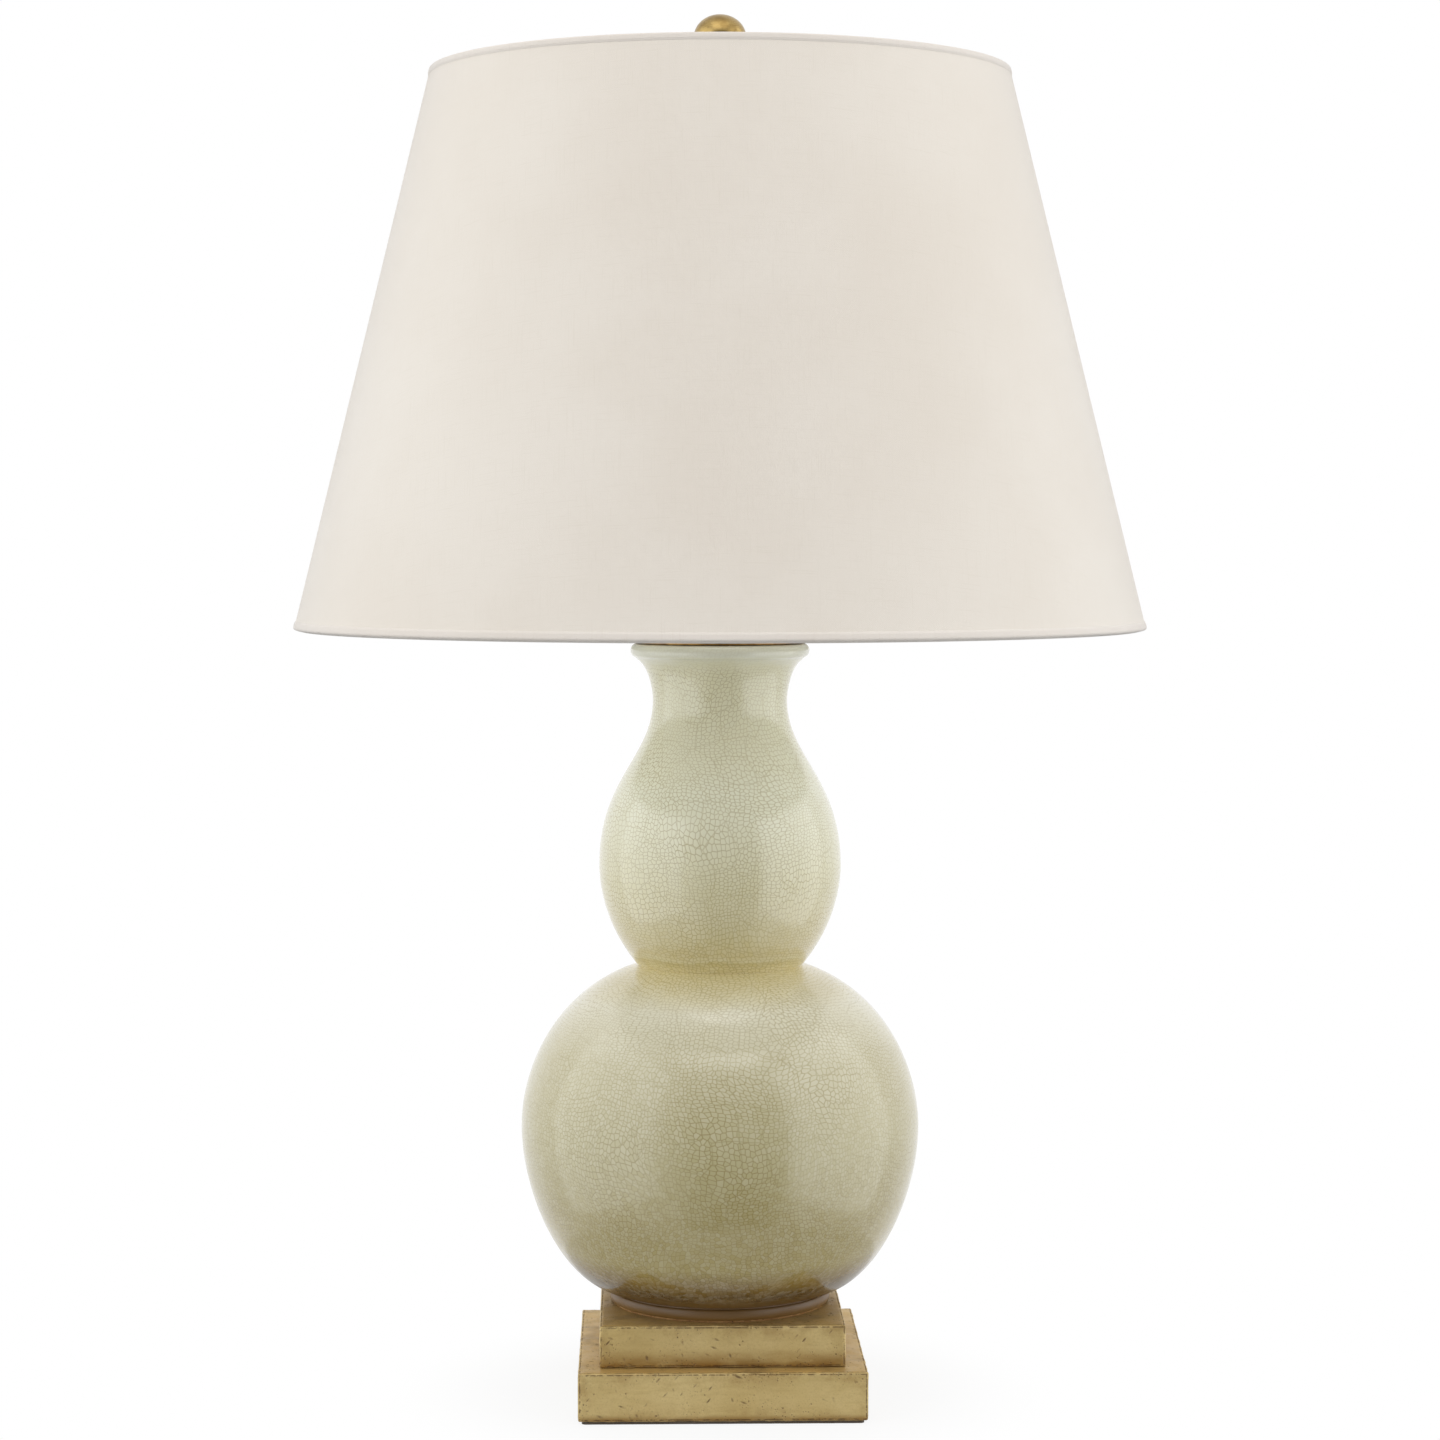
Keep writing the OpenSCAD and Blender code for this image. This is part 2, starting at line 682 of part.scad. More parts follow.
module socket_cap() {
    outer_r = shell_r + seat_gap + shell_sheet;
    neck_x = socket_neck_d / 2;
    floor_z = socket_neck_h + shell_sheet;
    bell_h = cap_bell_h - socket_neck_h;
    bell = bezier([neck_x, socket_neck_h], [(neck_x + outer_r) / 2, socket_neck_h],
                  [outer_r, cap_bell_h - 0.6 * bell_h], [outer_r, cap_bell_h], 12);
    inner_bell = shifted(bell, shell_sheet);
    color(brass) translate([0, 0, socket_z]) difference() {
        revolve(concat(
            [[rod_r + run_gap, 0], [neck_x, 0]],
            bell,
            [[outer_r, socket_cap_h], [outer_r - shell_sheet, socket_cap_h]],
            [for (i = [len(bell) - 1:-1:0]) inner_bell[i]],
            [[rod_r + run_gap, floor_z]]
        ));
        translate([0, 0, set_screw_z]) rotate([0, 90, 0])
            cylinder(d = small_screw_d + 2 * run_gap, h = socket_neck_d, $fn = 32);
    }
}

module socket_set_screw() {
    tip = rod_r + run_gap;
    head_r = small_screw_d * 0.9;
    shank = socket_neck_d / 2 - tip + 0.5;
    color(brass) translate([tip, 0, socket_z + set_screw_z]) rotate([0, 90, 0]) difference() {
        union() {
            cylinder(d = small_screw_d, h = shank, $fn = 32);
            translate([0, 0, shank]) cylinder(r = head_r, h = screw_head_h, $fn = 32);
        }
        screw_slot(head_r, shank + screw_head_h);
    }
}

// The slot across a screw's head, cut from its top at height z
module screw_slot(head_r, z) {
    translate([-head_r - eps, -slot_w / 2, z - slot_h]) cube([2 * head_r + 2 * eps, slot_w, slot_h + eps]);
}

module socket_shell() {
    foot = socket_cap_h - shell_overlap;
    rim_r = screw_shell_bore_d / 2 + 1.2;
    edge = shell_sheet;
    color(brass) translate([0, 0, socket_z]) difference() {
        revolve([
            [shell_bore_r, foot], [shell_r, foot], [shell_r, shell_top - edge], [shell_r - edge, shell_top],
            [rim_r, shell_top], [rim_r, shell_top - shell_sheet], [shell_bore_r, shell_top - shell_sheet]
        ]);
        translate([0, 0, switch_z]) rotate([90, 0, 0]) cylinder(d = switch_window_d, h = shell_d, $fn = 48);
    }
}

module socket_liner() {
    outer_r = shell_bore_r - seat_gap;
    foot = socket_cap_h - shell_overlap + 1;
    color("#6b5a48") translate([0, 0, socket_z]) difference() {
        translate([0, 0, foot])
            ring_disc(outer_r, outer_r - liner_t, shell_top - shell_sheet - seat_gap - foot);
        translate([0, 0, switch_z]) rotate([90, 0, 0])
            cylinder(d = switch_window_d + 0.4, h = shell_d, $fn = 48);
    }
}

body_wide_r = shell_bore_r - liner_t - 2 * seat_gap;
terminal_depth = 4;
terminal_z = body_top - body_wide_h - small_screw_d - 0.8;

module socket_body() {
    narrow_r = body_narrow_d / 2;
    foot = socket_neck_h + shell_sheet + seat_gap;
    step_z = body_top - body_wide_h;
    taper_h = 3;
    foot_r_in = narrow_r - 1.5;
    color("#e8e4da") translate([0, 0, socket_z]) difference() {
        revolve([
            [0, foot], [foot_r_in, foot], [narrow_r, foot + taper_h], [narrow_r, step_z],
            [body_wide_r, step_z], [body_wide_r, body_top], [0, body_top]
        ]);
        translate([0, 0, switch_z]) rotate([90, 0, 0])
            cylinder(d = shaft_d + 2 * run_gap, h = shell_d, $fn = 48);
        for (side = [-1, 1]) translate([side * narrow_r, 0, terminal_z]) rotate([0, 90, 0])
            cylinder(d = small_screw_d + 2 * run_gap, h = 2 * terminal_depth + 0.4, center = true, $fn = 32);
    }
}

module terminal_screws() {
    color(brass) for (side = [0, 1]) mirror([side, 0, 0])
        translate([body_narrow_d / 2, 0, socket_z + terminal_z]) rotate([0, 90, 0]) difference() {
            union() {
                translate([0, 0, -terminal_depth])
                    cylinder(d = small_screw_d, h = terminal_depth + seat_gap, $fn = 32);
                translate([0, 0, seat_gap]) cylinder(r = small_screw_d, h = screw_head_h, $fn = 32);
            }
            screw_slot(small_screw_d, seat_gap + screw_head_h);
        }
}

module screw_shell() {
    bore_r = screw_shell_bore_d / 2;
    outer_r = bore_r + screw_shell_sheet;
    hole_r = contact_d / 2 + 1.2;
    color(brass) translate([0, 0, socket_z + body_top]) revolve([
        [hole_r, 0], [outer_r, 0], [outer_r, screw_shell_h],
        [bore_r, screw_shell_h], [bore_r, screw_shell_sheet], [hole_r, screw_shell_sheet]
    ]);
}

module centre_contact() {
    leg_t = 0.8;
    color(brass) translate([0, 0, socket_z + body_top]) {
        cylinder(d = contact_d, h = leg_t);
        cylinder(d = contact_d / 2, h = contact_h);
    }
}

module switch_shaft() {
    inner_end = 5;
    color(steel) translate([0, -inner_end, socket_z + switch_z]) rotate([90, 0, 0])
        cylinder(d = shaft_d, h = shaft_reach - inner_end, $fn = 48);
}

module switch_knob() {
    collar_h = 3;
    key_r = knob_t / 2;
    color(dark) translate([0, -knob_reach, socket_z + switch_z]) rotate([-90, 0, 0]) difference() {
        union() {
            linear_extrude(knob_len - collar_h) {
                square([knob_w - knob_t, knob_t], center = true);
                for (x = [-1, 1]) translate([x * (knob_w - knob_t) / 2, 0]) circle(key_r, $fn = 48);
            }
            translate([0, 0, knob_len - collar_h - eps])
                cylinder(d = knob_t + 1.6, h = collar_h + eps, $fn = 48);
        }
        translate([0, 0, knob_reach - shaft_reach - seat_gap])
            cylinder(d = shaft_d + 2 * run_gap, h = knob_len, $fn = 48);
    }
}

// The bulb: solder tip, black glass insulator, metal cap and globe
tip_h = 2;
insulator_h = 4.5;
bulb_cap_r = bulb_cap_d / 2;
insulator_r = bulb_cap_r - 3.3;

module bulb_contact() {
    color(steel) translate([0, 0, bulb_z]) cylinder(d1 = 6.4, d2 = 9, h = tip_h);
}

module bulb_insulator() {
    color(dark) translate([0, 0, bulb_z + tip_h])
        revolve([
            [0, 0], [4.5, 0], [insulator_r, insulator_h - 1],
            [insulator_r, insulator_h], [0, insulator_h]
        ]);
}

module bulb_cap() {
    low = tip_h + insulator_h - 0.8;
    wall = bulb_cap_sheet;
    slope_x = insulator_r + 0.8;
    slope_top = low + 3;
    color(steel) translate([0, 0, bulb_z]) revolve([
        [insulator_r + run_gap, low], [slope_x, low], [bulb_cap_r, slope_top],
        [bulb_cap_r, bulb_base_len], [bulb_cap_r - wall, bulb_base_len],
        [bulb_cap_r - wall, slope_top + wall / 2], [slope_x - wall / 2, low + wall],
        [insulator_r + run_gap, low + wall]
    ]);
}

module bulb_globe() {
    neck_x = bulb_cap_r - bulb_cap_sheet - run_gap;
    globe_r = bulb_d / 2;
    neck_low = bulb_base_len - 5;
    globe_z = bulb_len - globe_r;
    outline = concat(
        [[neck_x, neck_low]],
        bezier([neck_x, bulb_base_len], [neck_x, bulb_base_len + 16],
               [globe_r, globe_z - 24], [globe_r, globe_z], 16),
        tail(arc([0, globe_z], globe_r, globe_r, 0, 84, 14))
    );
    inner = shifted(outline, glass_t);
    color([1, 0.98, 0.94]) translate([0, 0, bulb_z]) revolve(concat(
        outline, [[0, bulb_len], [0, bulb_len - glass_t]],
        [for (i = [len(inner) - 1:-1:0]) inner[i]]
    ));
}

// The harp: two straight legs, sides that lean out, round shoulders and a flat top with an eye
eye_z = seat_z - stud_flange_t - seat_gap - eye_t / 2;
shoulder_x = harp_half_w - harp_bend_r;

module harp_wire() {
    wire_r = wire_d / 2;
    side_end = [shoulder_x + harp_bend_r * cos(harp_lean),
                eye_z - harp_bend_r - harp_bend_r * sin(harp_lean)];
    side_len = (side_end[0] - leg_x - leg_bend_r * (1 - cos(harp_lean))) / sin(harp_lean);
    side_start = side_end - polar(90 - harp_lean, side_len);
    leg_top = side_start[1] - leg_bend_r * sin(harp_lean);
    half = concat(
        [[leg_x, ledge_z]],
        arc([leg_x + leg_bend_r, leg_top], leg_bend_r, leg_bend_r, 180, 180 - harp_lean, 3),
        arc([shoulder_x, eye_z - harp_bend_r], harp_bend_r, harp_bend_r, -harp_lean, 90, 16)
    );
    color(brass) difference() {
        union() {
            wire(concat(half, [for (i = [len(half) - 1:-1:0]) [-half[i][0], half[i][1]]]), wire_r);
            translate([0, 0, eye_z - eye_t / 2]) cylinder(d = eye_d, h = eye_t);
        }
        translate([0, 0, eye_z - eye_t]) cylinder(d = rivet_d + 2 * run_gap, h = 2 * eye_t);
    }
}

module harp_sleeve(side) {
    bore_r = sleeve_bore_d / 2;
    outer_r = bore_r + sleeve_wall;
    edge = sleeve_wall / 3;
    color(brass) translate([side * sleeve_x, 0, ledge_z]) revolve([
        [bore_r, 0], [outer_r - edge, 0], [outer_r, edge],
        [outer_r, sleeve_len - edge], [outer_r - edge, sleeve_len], [bore_r, sleeve_len]
    ]);
}

module harp_sleeve_left() harp_sleeve(-1);
module harp_sleeve_right() harp_sleeve(1);

module harp_stud() {
    rivet_len = eye_t + 2 * seat_gap;
    flange_z = seat_z - stud_flange_t;
    color(brass) {
        translate([0, 0, flange_z]) cylinder(d = stud_flange_d, h = stud_flange_t);
        translate([0, 0, seat_z - eps]) cylinder(d = stud_d, h = stud_len + eps - 0.6);
        translate([0, 0, seat_z + stud_len - 0.6]) cylinder(d1 = stud_d, d2 = stud_d - 1.2, h = 0.6);
        translate([0, 0, flange_z - rivet_len]) cylinder(d = rivet_d, h = rivet_len + eps);
        translate([0, 0, flange_z - rivet_len - rivet_head_t]) cylinder(d = rivet_head_d, h = rivet_head_t);
    }
}

// The shade. Its layers are laid out along the slanted wall: along from the lower edge up,
// and in from the outer face of the trim towards the axis.
wall_lean = atan2(shade_bottom_r - shade_top_r, shade_h);
wall_len = norm([shade_bottom_r - shade_top_r, shade_h]);
linen_in = trim_t + seat_gap;
stiffener_in = linen_in + linen_t + seat_gap;
frame_in = stiffener_in + stiffener_t + seat_gap;
edge_gap = trim_t + seat_gap;

function on_wall(along, in) =
    [shade_bottom_r, shade_bottom_z] + polar(90 + wall_lean, along) - polar(wall_lean, in);

module wall_layer(in, t) {
    revolve([
        on_wall(edge_gap, in), on_wall(wall_len - edge_gap, in),
        on_wall(wall_len - edge_gap, in + t), on_wall(edge_gap, in + t)
    ]);
}

module shade_liner() {
    color("#f3f1ea") wall_layer(stiffener_in, stiffener_t);
}

module shade_fabric() {
    color(linen) wall_layer(linen_in, linen_t);
}

// A folded strip of linen round an edge and the wire inside it
module edge_trim(edge, inward, h, depth) {
    far = edge + inward * h;
    near = edge + inward * trim_t;
    revolve([
        on_wall(edge, 0), on_wall(far, 0), on_wall(far, trim_t), on_wall(near, trim_t),
        on_wall(near, depth - trim_t), on_wall(far, depth - trim_t), on_wall(far, depth), on_wall(edge, depth)
    ]);
}

module shade_bottom_trim() {
    color(linen) edge_trim(0, 1, bottom_trim_h, frame_in + bottom_wire_d + seat_gap + trim_t);
}

module shade_top_trim() {
    color(linen) edge_trim(wall_len, -1, top_trim_h, frame_in + fitter_wire_d + seat_gap + trim_t);
}

module shade_bottom_ring() {
    wire_r = bottom_wire_d / 2;
    centre = on_wall(edge_gap + wire_r, frame_in + wire_r);
    color(steel) rotate_extrude() translate(centre) circle(wire_r, $fn = 32);
}

// Top ring, washer and arms of the fitter are welded into one piece
module shade_fitter() {
    wire_r = fitter_wire_d / 2;
    ring = on_wall(wall_len - (shade_top_z - fitter_ring_z) / cos(wall_lean), frame_in + wire_r);
    arm_z = seat_z + fitter_washer_t / 2;
    bend_z = arm_z + arm_bend_r;
    drop_z = bend_z + arm_bend_r * sin(wall_lean);
    drop_x = ring[0] + (ring[1] - drop_z) * tan(wall_lean);
    bend = [drop_x - arm_bend_r * cos(wall_lean), bend_z];
    color(steel) difference() {
        union() {
            rotate_extrude() translate(ring) circle(wire_r, $fn = 32);
            translate([0, 0, seat_z]) cylinder(d = fitter_washer_d, h = fitter_washer_t);
            for (i = [0:arm_count - 1]) rotate([0, 0, 90 + i * 360 / arm_count])
                wire(concat([ring], arc(bend, arm_bend_r, arm_bend_r, wall_lean, -90, 8),
                            [[fitter_washer_d / 2 - 3, arm_z]]), fitter_arm_d / 2);
        }
        translate([0, 0, seat_z - eps]) cylinder(d = fitter_hole_d, h = fitter_washer_t + 2 * eps + 1);
    }
}

// The finial: a tapped base and a turned ball on a coved stem
module finial_base() {
    color(brass) translate([0, 0, finial_z]) difference() {
        union() {
            cylinder(d = finial_base_d, h = finial_base_t);
            cylinder(d = finial_tube_d, h = finial_base_t + finial_tube_h);
        }
        translate([0, 0, -eps])
            cylinder(d = stud_d + 2 * run_gap, h = finial_base_t + finial_tube_h + 2 * eps);
    }
}

module finial_ball() {
    ball_z = finial_h - ball_half_h;
    stem_z = finial_base_t;
    stem_top = ball_z - 0.8 * ball_half_h;
    stem_r = finial_stem_d / 2;
    foot_x = finial_base_d / 2 - 1;
    cove = bezier([foot_x, stem_z + 1], [stem_r, stem_z + 1.5],
                  [stem_r, stem_top - 6], [stem_r, stem_top], 10);
    color(brass) translate([0, 0, finial_z]) difference() {
        union() {
            revolve(concat([[0, stem_z], [foot_x, stem_z]], cove, [[0, stem_top]]));
            rotate_extrude() translate([stem_r - 0.4, stem_top - 1.2]) circle(1.4, $fn = 32);
            revolve(arc([0, ball_z], ball_r, ball_half_h, -90, 90, 30));
        }
        translate([0, 0, stem_z - eps])
            cylinder(d = finial_tube_d + 2 * run_gap, h = finial_tube_h + eps + seat_gap);
        translate([0, 0, stem_z])
            cylinder(d = stud_d + 1, h = max(finial_tube_h, stud_len - fitter_washer_t) + 1);
    }
}

felt_pad();
plinth_lower();
plinth_upper();
plinth_screws();
cord_bushing();
base_nut();
base_lock_washer();
base_washer();
threaded_rod();
foot_gasket();
gourd_body();
vase_cap();
check_ring();
brass_neck();
harp_saddle();
saddle_nut();
socket_cap();
socket_set_screw();
socket_shell();
socket_liner();
socket_body();
screw_shell();
centre_contact();
terminal_screws();
switch_shaft();
switch_knob();
bulb_contact();
bulb_insulator();
bulb_cap();
bulb_globe();
harp_wire();
harp_sleeve_left();
harp_sleeve_right();
harp_stud();
shade_fitter();
shade_bottom_ring();
shade_liner();
shade_fabric();
shade_top_trim();
shade_bottom_trim();
finial_base();
finial_ball();
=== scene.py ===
# %% [markdown]
# # A gourd table lamp
# This notebook dresses the lamp that was drawn in CAD. The CAD solids arrive as a fixed frame, each at its
# place, and every piece below is made again by hand around them: turned, bent, stitched and painted.
# Lengths are written in millimetres, as on the drawing, and multiplied by MM where Blender wants metres.

# %% Load the frame
import math

import bmesh
import bpy
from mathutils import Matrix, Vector


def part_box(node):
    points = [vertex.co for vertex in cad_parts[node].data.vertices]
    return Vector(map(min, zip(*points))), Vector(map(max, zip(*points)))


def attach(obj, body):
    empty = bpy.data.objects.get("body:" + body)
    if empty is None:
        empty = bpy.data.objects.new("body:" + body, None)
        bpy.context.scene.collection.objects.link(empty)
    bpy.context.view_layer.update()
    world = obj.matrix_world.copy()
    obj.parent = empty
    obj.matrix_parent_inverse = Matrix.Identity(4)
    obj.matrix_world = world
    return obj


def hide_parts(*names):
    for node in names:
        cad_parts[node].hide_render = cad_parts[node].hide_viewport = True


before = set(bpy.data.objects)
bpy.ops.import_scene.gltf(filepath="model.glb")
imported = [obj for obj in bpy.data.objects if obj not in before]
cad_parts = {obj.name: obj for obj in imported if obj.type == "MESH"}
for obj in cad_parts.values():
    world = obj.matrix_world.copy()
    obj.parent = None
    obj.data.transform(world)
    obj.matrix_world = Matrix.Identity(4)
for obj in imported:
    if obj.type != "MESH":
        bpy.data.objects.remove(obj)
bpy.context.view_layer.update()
scene = bpy.context.scene
scene.view_settings.view_transform = "Standard"
MM = 0.001


# %% [markdown]
# ## Camera, floor and light
# The lamp was taken from a little above its middle with a long lens, so the camera stands 1.9 m away and
# looks down by three degrees. A constraint could aim it, but plain angles are easier to read.

# %% The camera
CAMERA_DISTANCE = 1.9
CAMERA_HEIGHT = 0.4705
CAMERA_DOWN = math.radians(3.164)
CAMERA_LEFT = math.radians(1.3)

camera_data = bpy.data.cameras.new("camera")
camera_data.lens = 88.19
camera_data.sensor_width = 36
camera = bpy.data.objects.new("camera", camera_data)
scene.collection.objects.link(camera)
camera.location = (
    -CAMERA_DISTANCE * math.sin(CAMERA_LEFT),
    -CAMERA_DISTANCE * math.cos(CAMERA_LEFT),
    CAMERA_HEIGHT,
)
camera.rotation_euler = (math.pi / 2 - CAMERA_DOWN, 0, -CAMERA_LEFT)
scene.camera = camera


# %% [markdown]
# A material in Blender is a small network of nodes, and so is the room round the lamp. Wiring one by hand in
# code takes many lines, so this class keeps the nodes together: each call adds one node, joins what it is
# given, and hands back its output.

# %% A recipe for a material
def rgb(red, green, blue):
    """A colour given in the 0-255 steps of a picture, as the linear numbers that Blender wants."""
    steps = [red / 255, green / 255, blue / 255]
    return tuple(s / 12.92 if s <= 0.04045 else ((s + 0.055) / 1.055) ** 2.4 for s in steps) + (1.0,)


class Recipe:
    """The nodes of one material or world. Methods add nodes and return the output that the next one uses."""

    def __init__(self, name, world=None):
        self.material = world or bpy.data.materials.new(name)
        self.material.use_nodes = True
        self.nodes = self.material.node_tree.nodes
        self.shader = self.nodes["Background" if world else "Principled BSDF"]

    def add(self, kind, inputs=None, **settings):
        node = self.nodes.new("ShaderNode" + kind)
        for key, value in settings.items():
            setattr(node, key, value)
        for key, value in (inputs or {}).items():
            self.plug(value, node.inputs[key])
        return node

    def plug(self, value, socket):
        if isinstance(value, bpy.types.NodeSocket):
            self.material.node_tree.links.new(value, socket)
        else:
            socket.default_value = value

    def vector(self, operation, first, second):
        return self.add("VectorMath", {0: first, 1: second}, operation=operation).outputs[0]

    def place(self, scale=(1, 1, 1), turn=(0, 0, 0)):
        """The position on the piece in metres, stretched or turned where asked."""
        where = self.add("TexCoord").outputs["Object"]
        if tuple(scale) == (1, 1, 1) and tuple(turn) == (0, 0, 0):
            return where
        return self.add("Mapping", {"Vector": where, "Scale": scale, "Rotation": turn}).outputs[0]

    def height(self):
        """The height above the table in metres."""
        return self.add("SeparateXYZ", {0: self.place()}).outputs["Z"]

    def radius(self):
        """The distance from the lamp's axis in metres."""
        flat = self.vector("MULTIPLY", self.place(), (1, 1, 0))
        return self.add("VectorMath", {0: flat}, operation="LENGTH").outputs["Value"]

    def noise(self, scale, where, detail=3.0, roughness=0.5):
        inputs = {"Vector": where, "Scale": scale, "Detail": detail, "Roughness": roughness}
        return self.add("TexNoise", inputs).outputs["Fac"]

    def wobbled(self, where, scale, detail, reach):
        """A place that noise pushes a little way off, by up to half the reach each way."""
        push = self.add("TexNoise", {"Vector": where, "Scale": scale, "Detail": detail}).outputs["Color"]
        push = self.vector("SUBTRACT", push, (0.5, 0.5, 0.5))
        return self.vector("ADD", where, self.vector("MULTIPLY", push, reach))

    def dots(self, scale, where):
        """The distance to the nearest of many scattered points."""
        return self.add("TexVoronoi", {"Vector": where, "Scale": scale}).outputs["Distance"]

    def maths(self, operation, first, second=0.0):
        return self.add("Math", {0: first, 1: second}, operation=operation).outputs[0]

    def times(self, first, second):
        return self.maths("MULTIPLY", first, second)

    def plus(self, first, second):
        return self.maths("ADD", first, second)

    def minus(self, first, second):
        return self.maths("SUBTRACT", first, second)

    def larger(self, first, second):
        return self.maths("MAXIMUM", first, second)

    def between(self, value, low, high, to_low=0.0, to_high=1.0):
        """Runs smoothly from to_low to to_high while the value goes from low to high."""
        inputs = {"Value": value, "From Min": low, "From Max": high, "To Min": to_low, "To Max": to_high}
        return self.add("MapRange", inputs, interpolation_type="SMOOTHSTEP").outputs[0]

    def spread(self, share, to_low, to_high):
        """Runs evenly from to_low to to_high while the share goes from 0 to 1."""
        return self.add("MapRange", {"Value": share, "To Min": to_low, "To Max": to_high}).outputs[0]

    def blend(self, share, first, second, how="MIX"):
        """The first colour where share is 0, the second where it is 1."""
        node = self.add("Mix", data_type="RGBA", blend_type=how)
        self.plug(share, node.inputs[0])
        self.plug(first, node.inputs[6])
        self.plug(second, node.inputs[7])
        return node.outputs[2]

    def bump(self, height, strength, distance, normal=None):
        inputs = {"Height": height, "Strength": strength, "Distance": distance}
        if normal is not None:
            inputs["Normal"] = normal
        return self.add("Bump", inputs).outputs[0]

    def finish(self, **sockets):
        """Sets the shader's sockets, with spaces written as underscores."""
        for key, value in sockets.items():
            self.plug(value, self.shader.inputs[key.replace("_", " ")])
        return self.material


# %% [markdown]
# The lamp stands on a small round white table top, just wide enough to take its soft shadow and to throw
# some light back up. Around the plinth it fades to white for the camera alone, so the white adds no light.

# %% The table
TABLE_R = 0.2

bpy.ops.object.select_all(action="DESELECT")
bpy.ops.mesh.primitive_circle_add(vertices=128, radius=TABLE_R, fill_type="NGON")
table = bpy.context.object
table.name = "table_top"

paint = Recipe("white_table")
fade = paint.between(paint.radius(), 0.09, TABLE_R - 0.01, 0.88, 1.0)
seen = paint.add("LightPath").outputs["Is Camera Ray"]
paint.finish(Base_Color=(0.8, 0.8, 0.8, 1), Roughness=0.9, Specular_IOR_Level=0.1)
glow = paint.add("Emission", {"Color": (1, 1, 1, 1), "Strength": 1.0}).outputs[0]
share = paint.times(fade, seen)
mixer = paint.add("MixShader", {0: share, 1: paint.shader.outputs[0], 2: glow})
paint.plug(mixer.outputs[0], paint.nodes["Material Output"].inputs[0])
table.data.materials.append(paint.material)


# %% [markdown]
# The room is white all round, but dark behind the camera, as a studio is. That dark part is what a glaze
# shows as the soft vertical band in its middle. A black card would do the same, but it would be in the way
# of other views. The camera sees plain white wherever it looks.

# %% The room
ROOM_LIGHT = 0.86
DARK_SHARE = 0.25
DARK_TURN = math.radians(-8)
DARK_INNER, DARK_OUTER = math.radians(22), math.radians(44)

room = Recipe("room", bpy.data.worlds.new("room"))
scene.world = room.material
rays = room.add("LightPath").outputs
direction = room.add("TexCoord").outputs["Generated"]
parts = room.add("SeparateXYZ", {0: direction}).outputs
azimuth = room.maths("ARCTAN2", parts["X"], room.times(parts["Y"], -1.0))
azimuth = room.maths("ABSOLUTE", room.plus(azimuth, DARK_TURN))
beside = room.between(azimuth, DARK_INNER, DARK_OUTER)
above = room.between(parts["Z"], 0.35, 0.85)
walls = room.spread(room.larger(beside, above), DARK_SHARE, 1.0)
plain = room.larger(rays["Is Camera Ray"], rays["Is Transmission Ray"])
shown = room.larger(room.times(rays["Is Glossy Ray"], walls), plain)
special = room.larger(plain, rays["Is Glossy Ray"])
under = room.between(parts["Z"], -0.5, 0.1, 0.3, 1.0)
lit = room.times(room.spread(walls, 0.45 * ROOM_LIGHT, ROOM_LIGHT), under)
room.finish(Color=(1, 1, 1, 1), Strength=room.spread(special, lit, shown))


# %% [markdown]
# Two very large soft boxes stand left and right, so wide that the gourd shows them as broad pale zones from
# its edges almost to its middle. Small lamps would leave hard highlights on the glaze. A third box,
# overhead, lifts the tops.

# %% Soft boxes
def soft_box(name, azimuth, distance, height, width, tall, watts, colour=(1, 1, 1)):
    """A rectangular lamp, azimuth degrees round from the front, that faces the middle of the object."""
    data = bpy.data.lights.new(name, "AREA")
    data.shape = "RECTANGLE"
    data.size = width
    data.size_y = tall
    data.energy = watts
    data.color = colour
    lamp = bpy.data.objects.new(name, data)
    scene.collection.objects.link(lamp)
    angle = math.radians(azimuth)
    lamp.location = (distance * math.sin(angle), -distance * math.cos(angle), height)
    aim = Vector((0, 0, 0.4)) - lamp.location
    lamp.rotation_euler = aim.to_track_quat("-Z", "Y").to_euler()


soft_box("box_left", -74, 2.2, 0.5, 3.2, 3.8, 32.5, (0.885, 0.943, 1))
soft_box("box_right", 74, 2.2, 0.5, 3.2, 3.8, 34.0, (0.91, 0.955, 1))
soft_box("box_top", 0, 0.7, 1.9, 1.4, 1.4, 6.0)


# %% [markdown]
# ## Tools of the workshop
# Most of this lamp is turned: a gourd on the wheel, brass on the lathe, a shade on a drum. A Screw modifier
# could turn a section too, but it stays live. So the first tool draws half of a section point by point, as
# with the E key, and spins it round the axis.

# %% Helpers for selecting and shaping
def only(obj):
    """Selects this object and nothing else, and makes it the active one."""
    bpy.ops.object.select_all(action="DESELECT")
    obj.select_set(True)
    bpy.context.view_layer.objects.active = obj


def open_mesh(obj):
    only(obj)
    bpy.ops.object.mode_set(mode="EDIT")


def close_mesh():
    bpy.ops.object.mode_set(mode="OBJECT")


def pick(obj, kind, test):
    """In edit mode: selects the vertices, edges or faces of an open mesh that pass a test."""
    bpy.ops.mesh.select_mode(type=kind)
    bpy.ops.mesh.select_all(action="DESELECT")
    mesh = bmesh.from_edit_mesh(obj.data)
    items = {"VERT": mesh.verts, "EDGE": mesh.edges, "FACE": mesh.faces}[kind]
    for item in items:
        if test(item):
            item.select_set(True)
    mesh.select_flush_mode()
    bmesh.update_edit_mesh(obj.data)


def modify(obj, kind, **settings):
    """Adds a modifier, sets it and applies it."""
    only(obj)
    modifier = obj.modifiers.new(kind.lower(), kind)
    for key, value in settings.items():
        setattr(modifier, key, value)
    bpy.ops.object.modifier_apply(modifier=modifier.name)


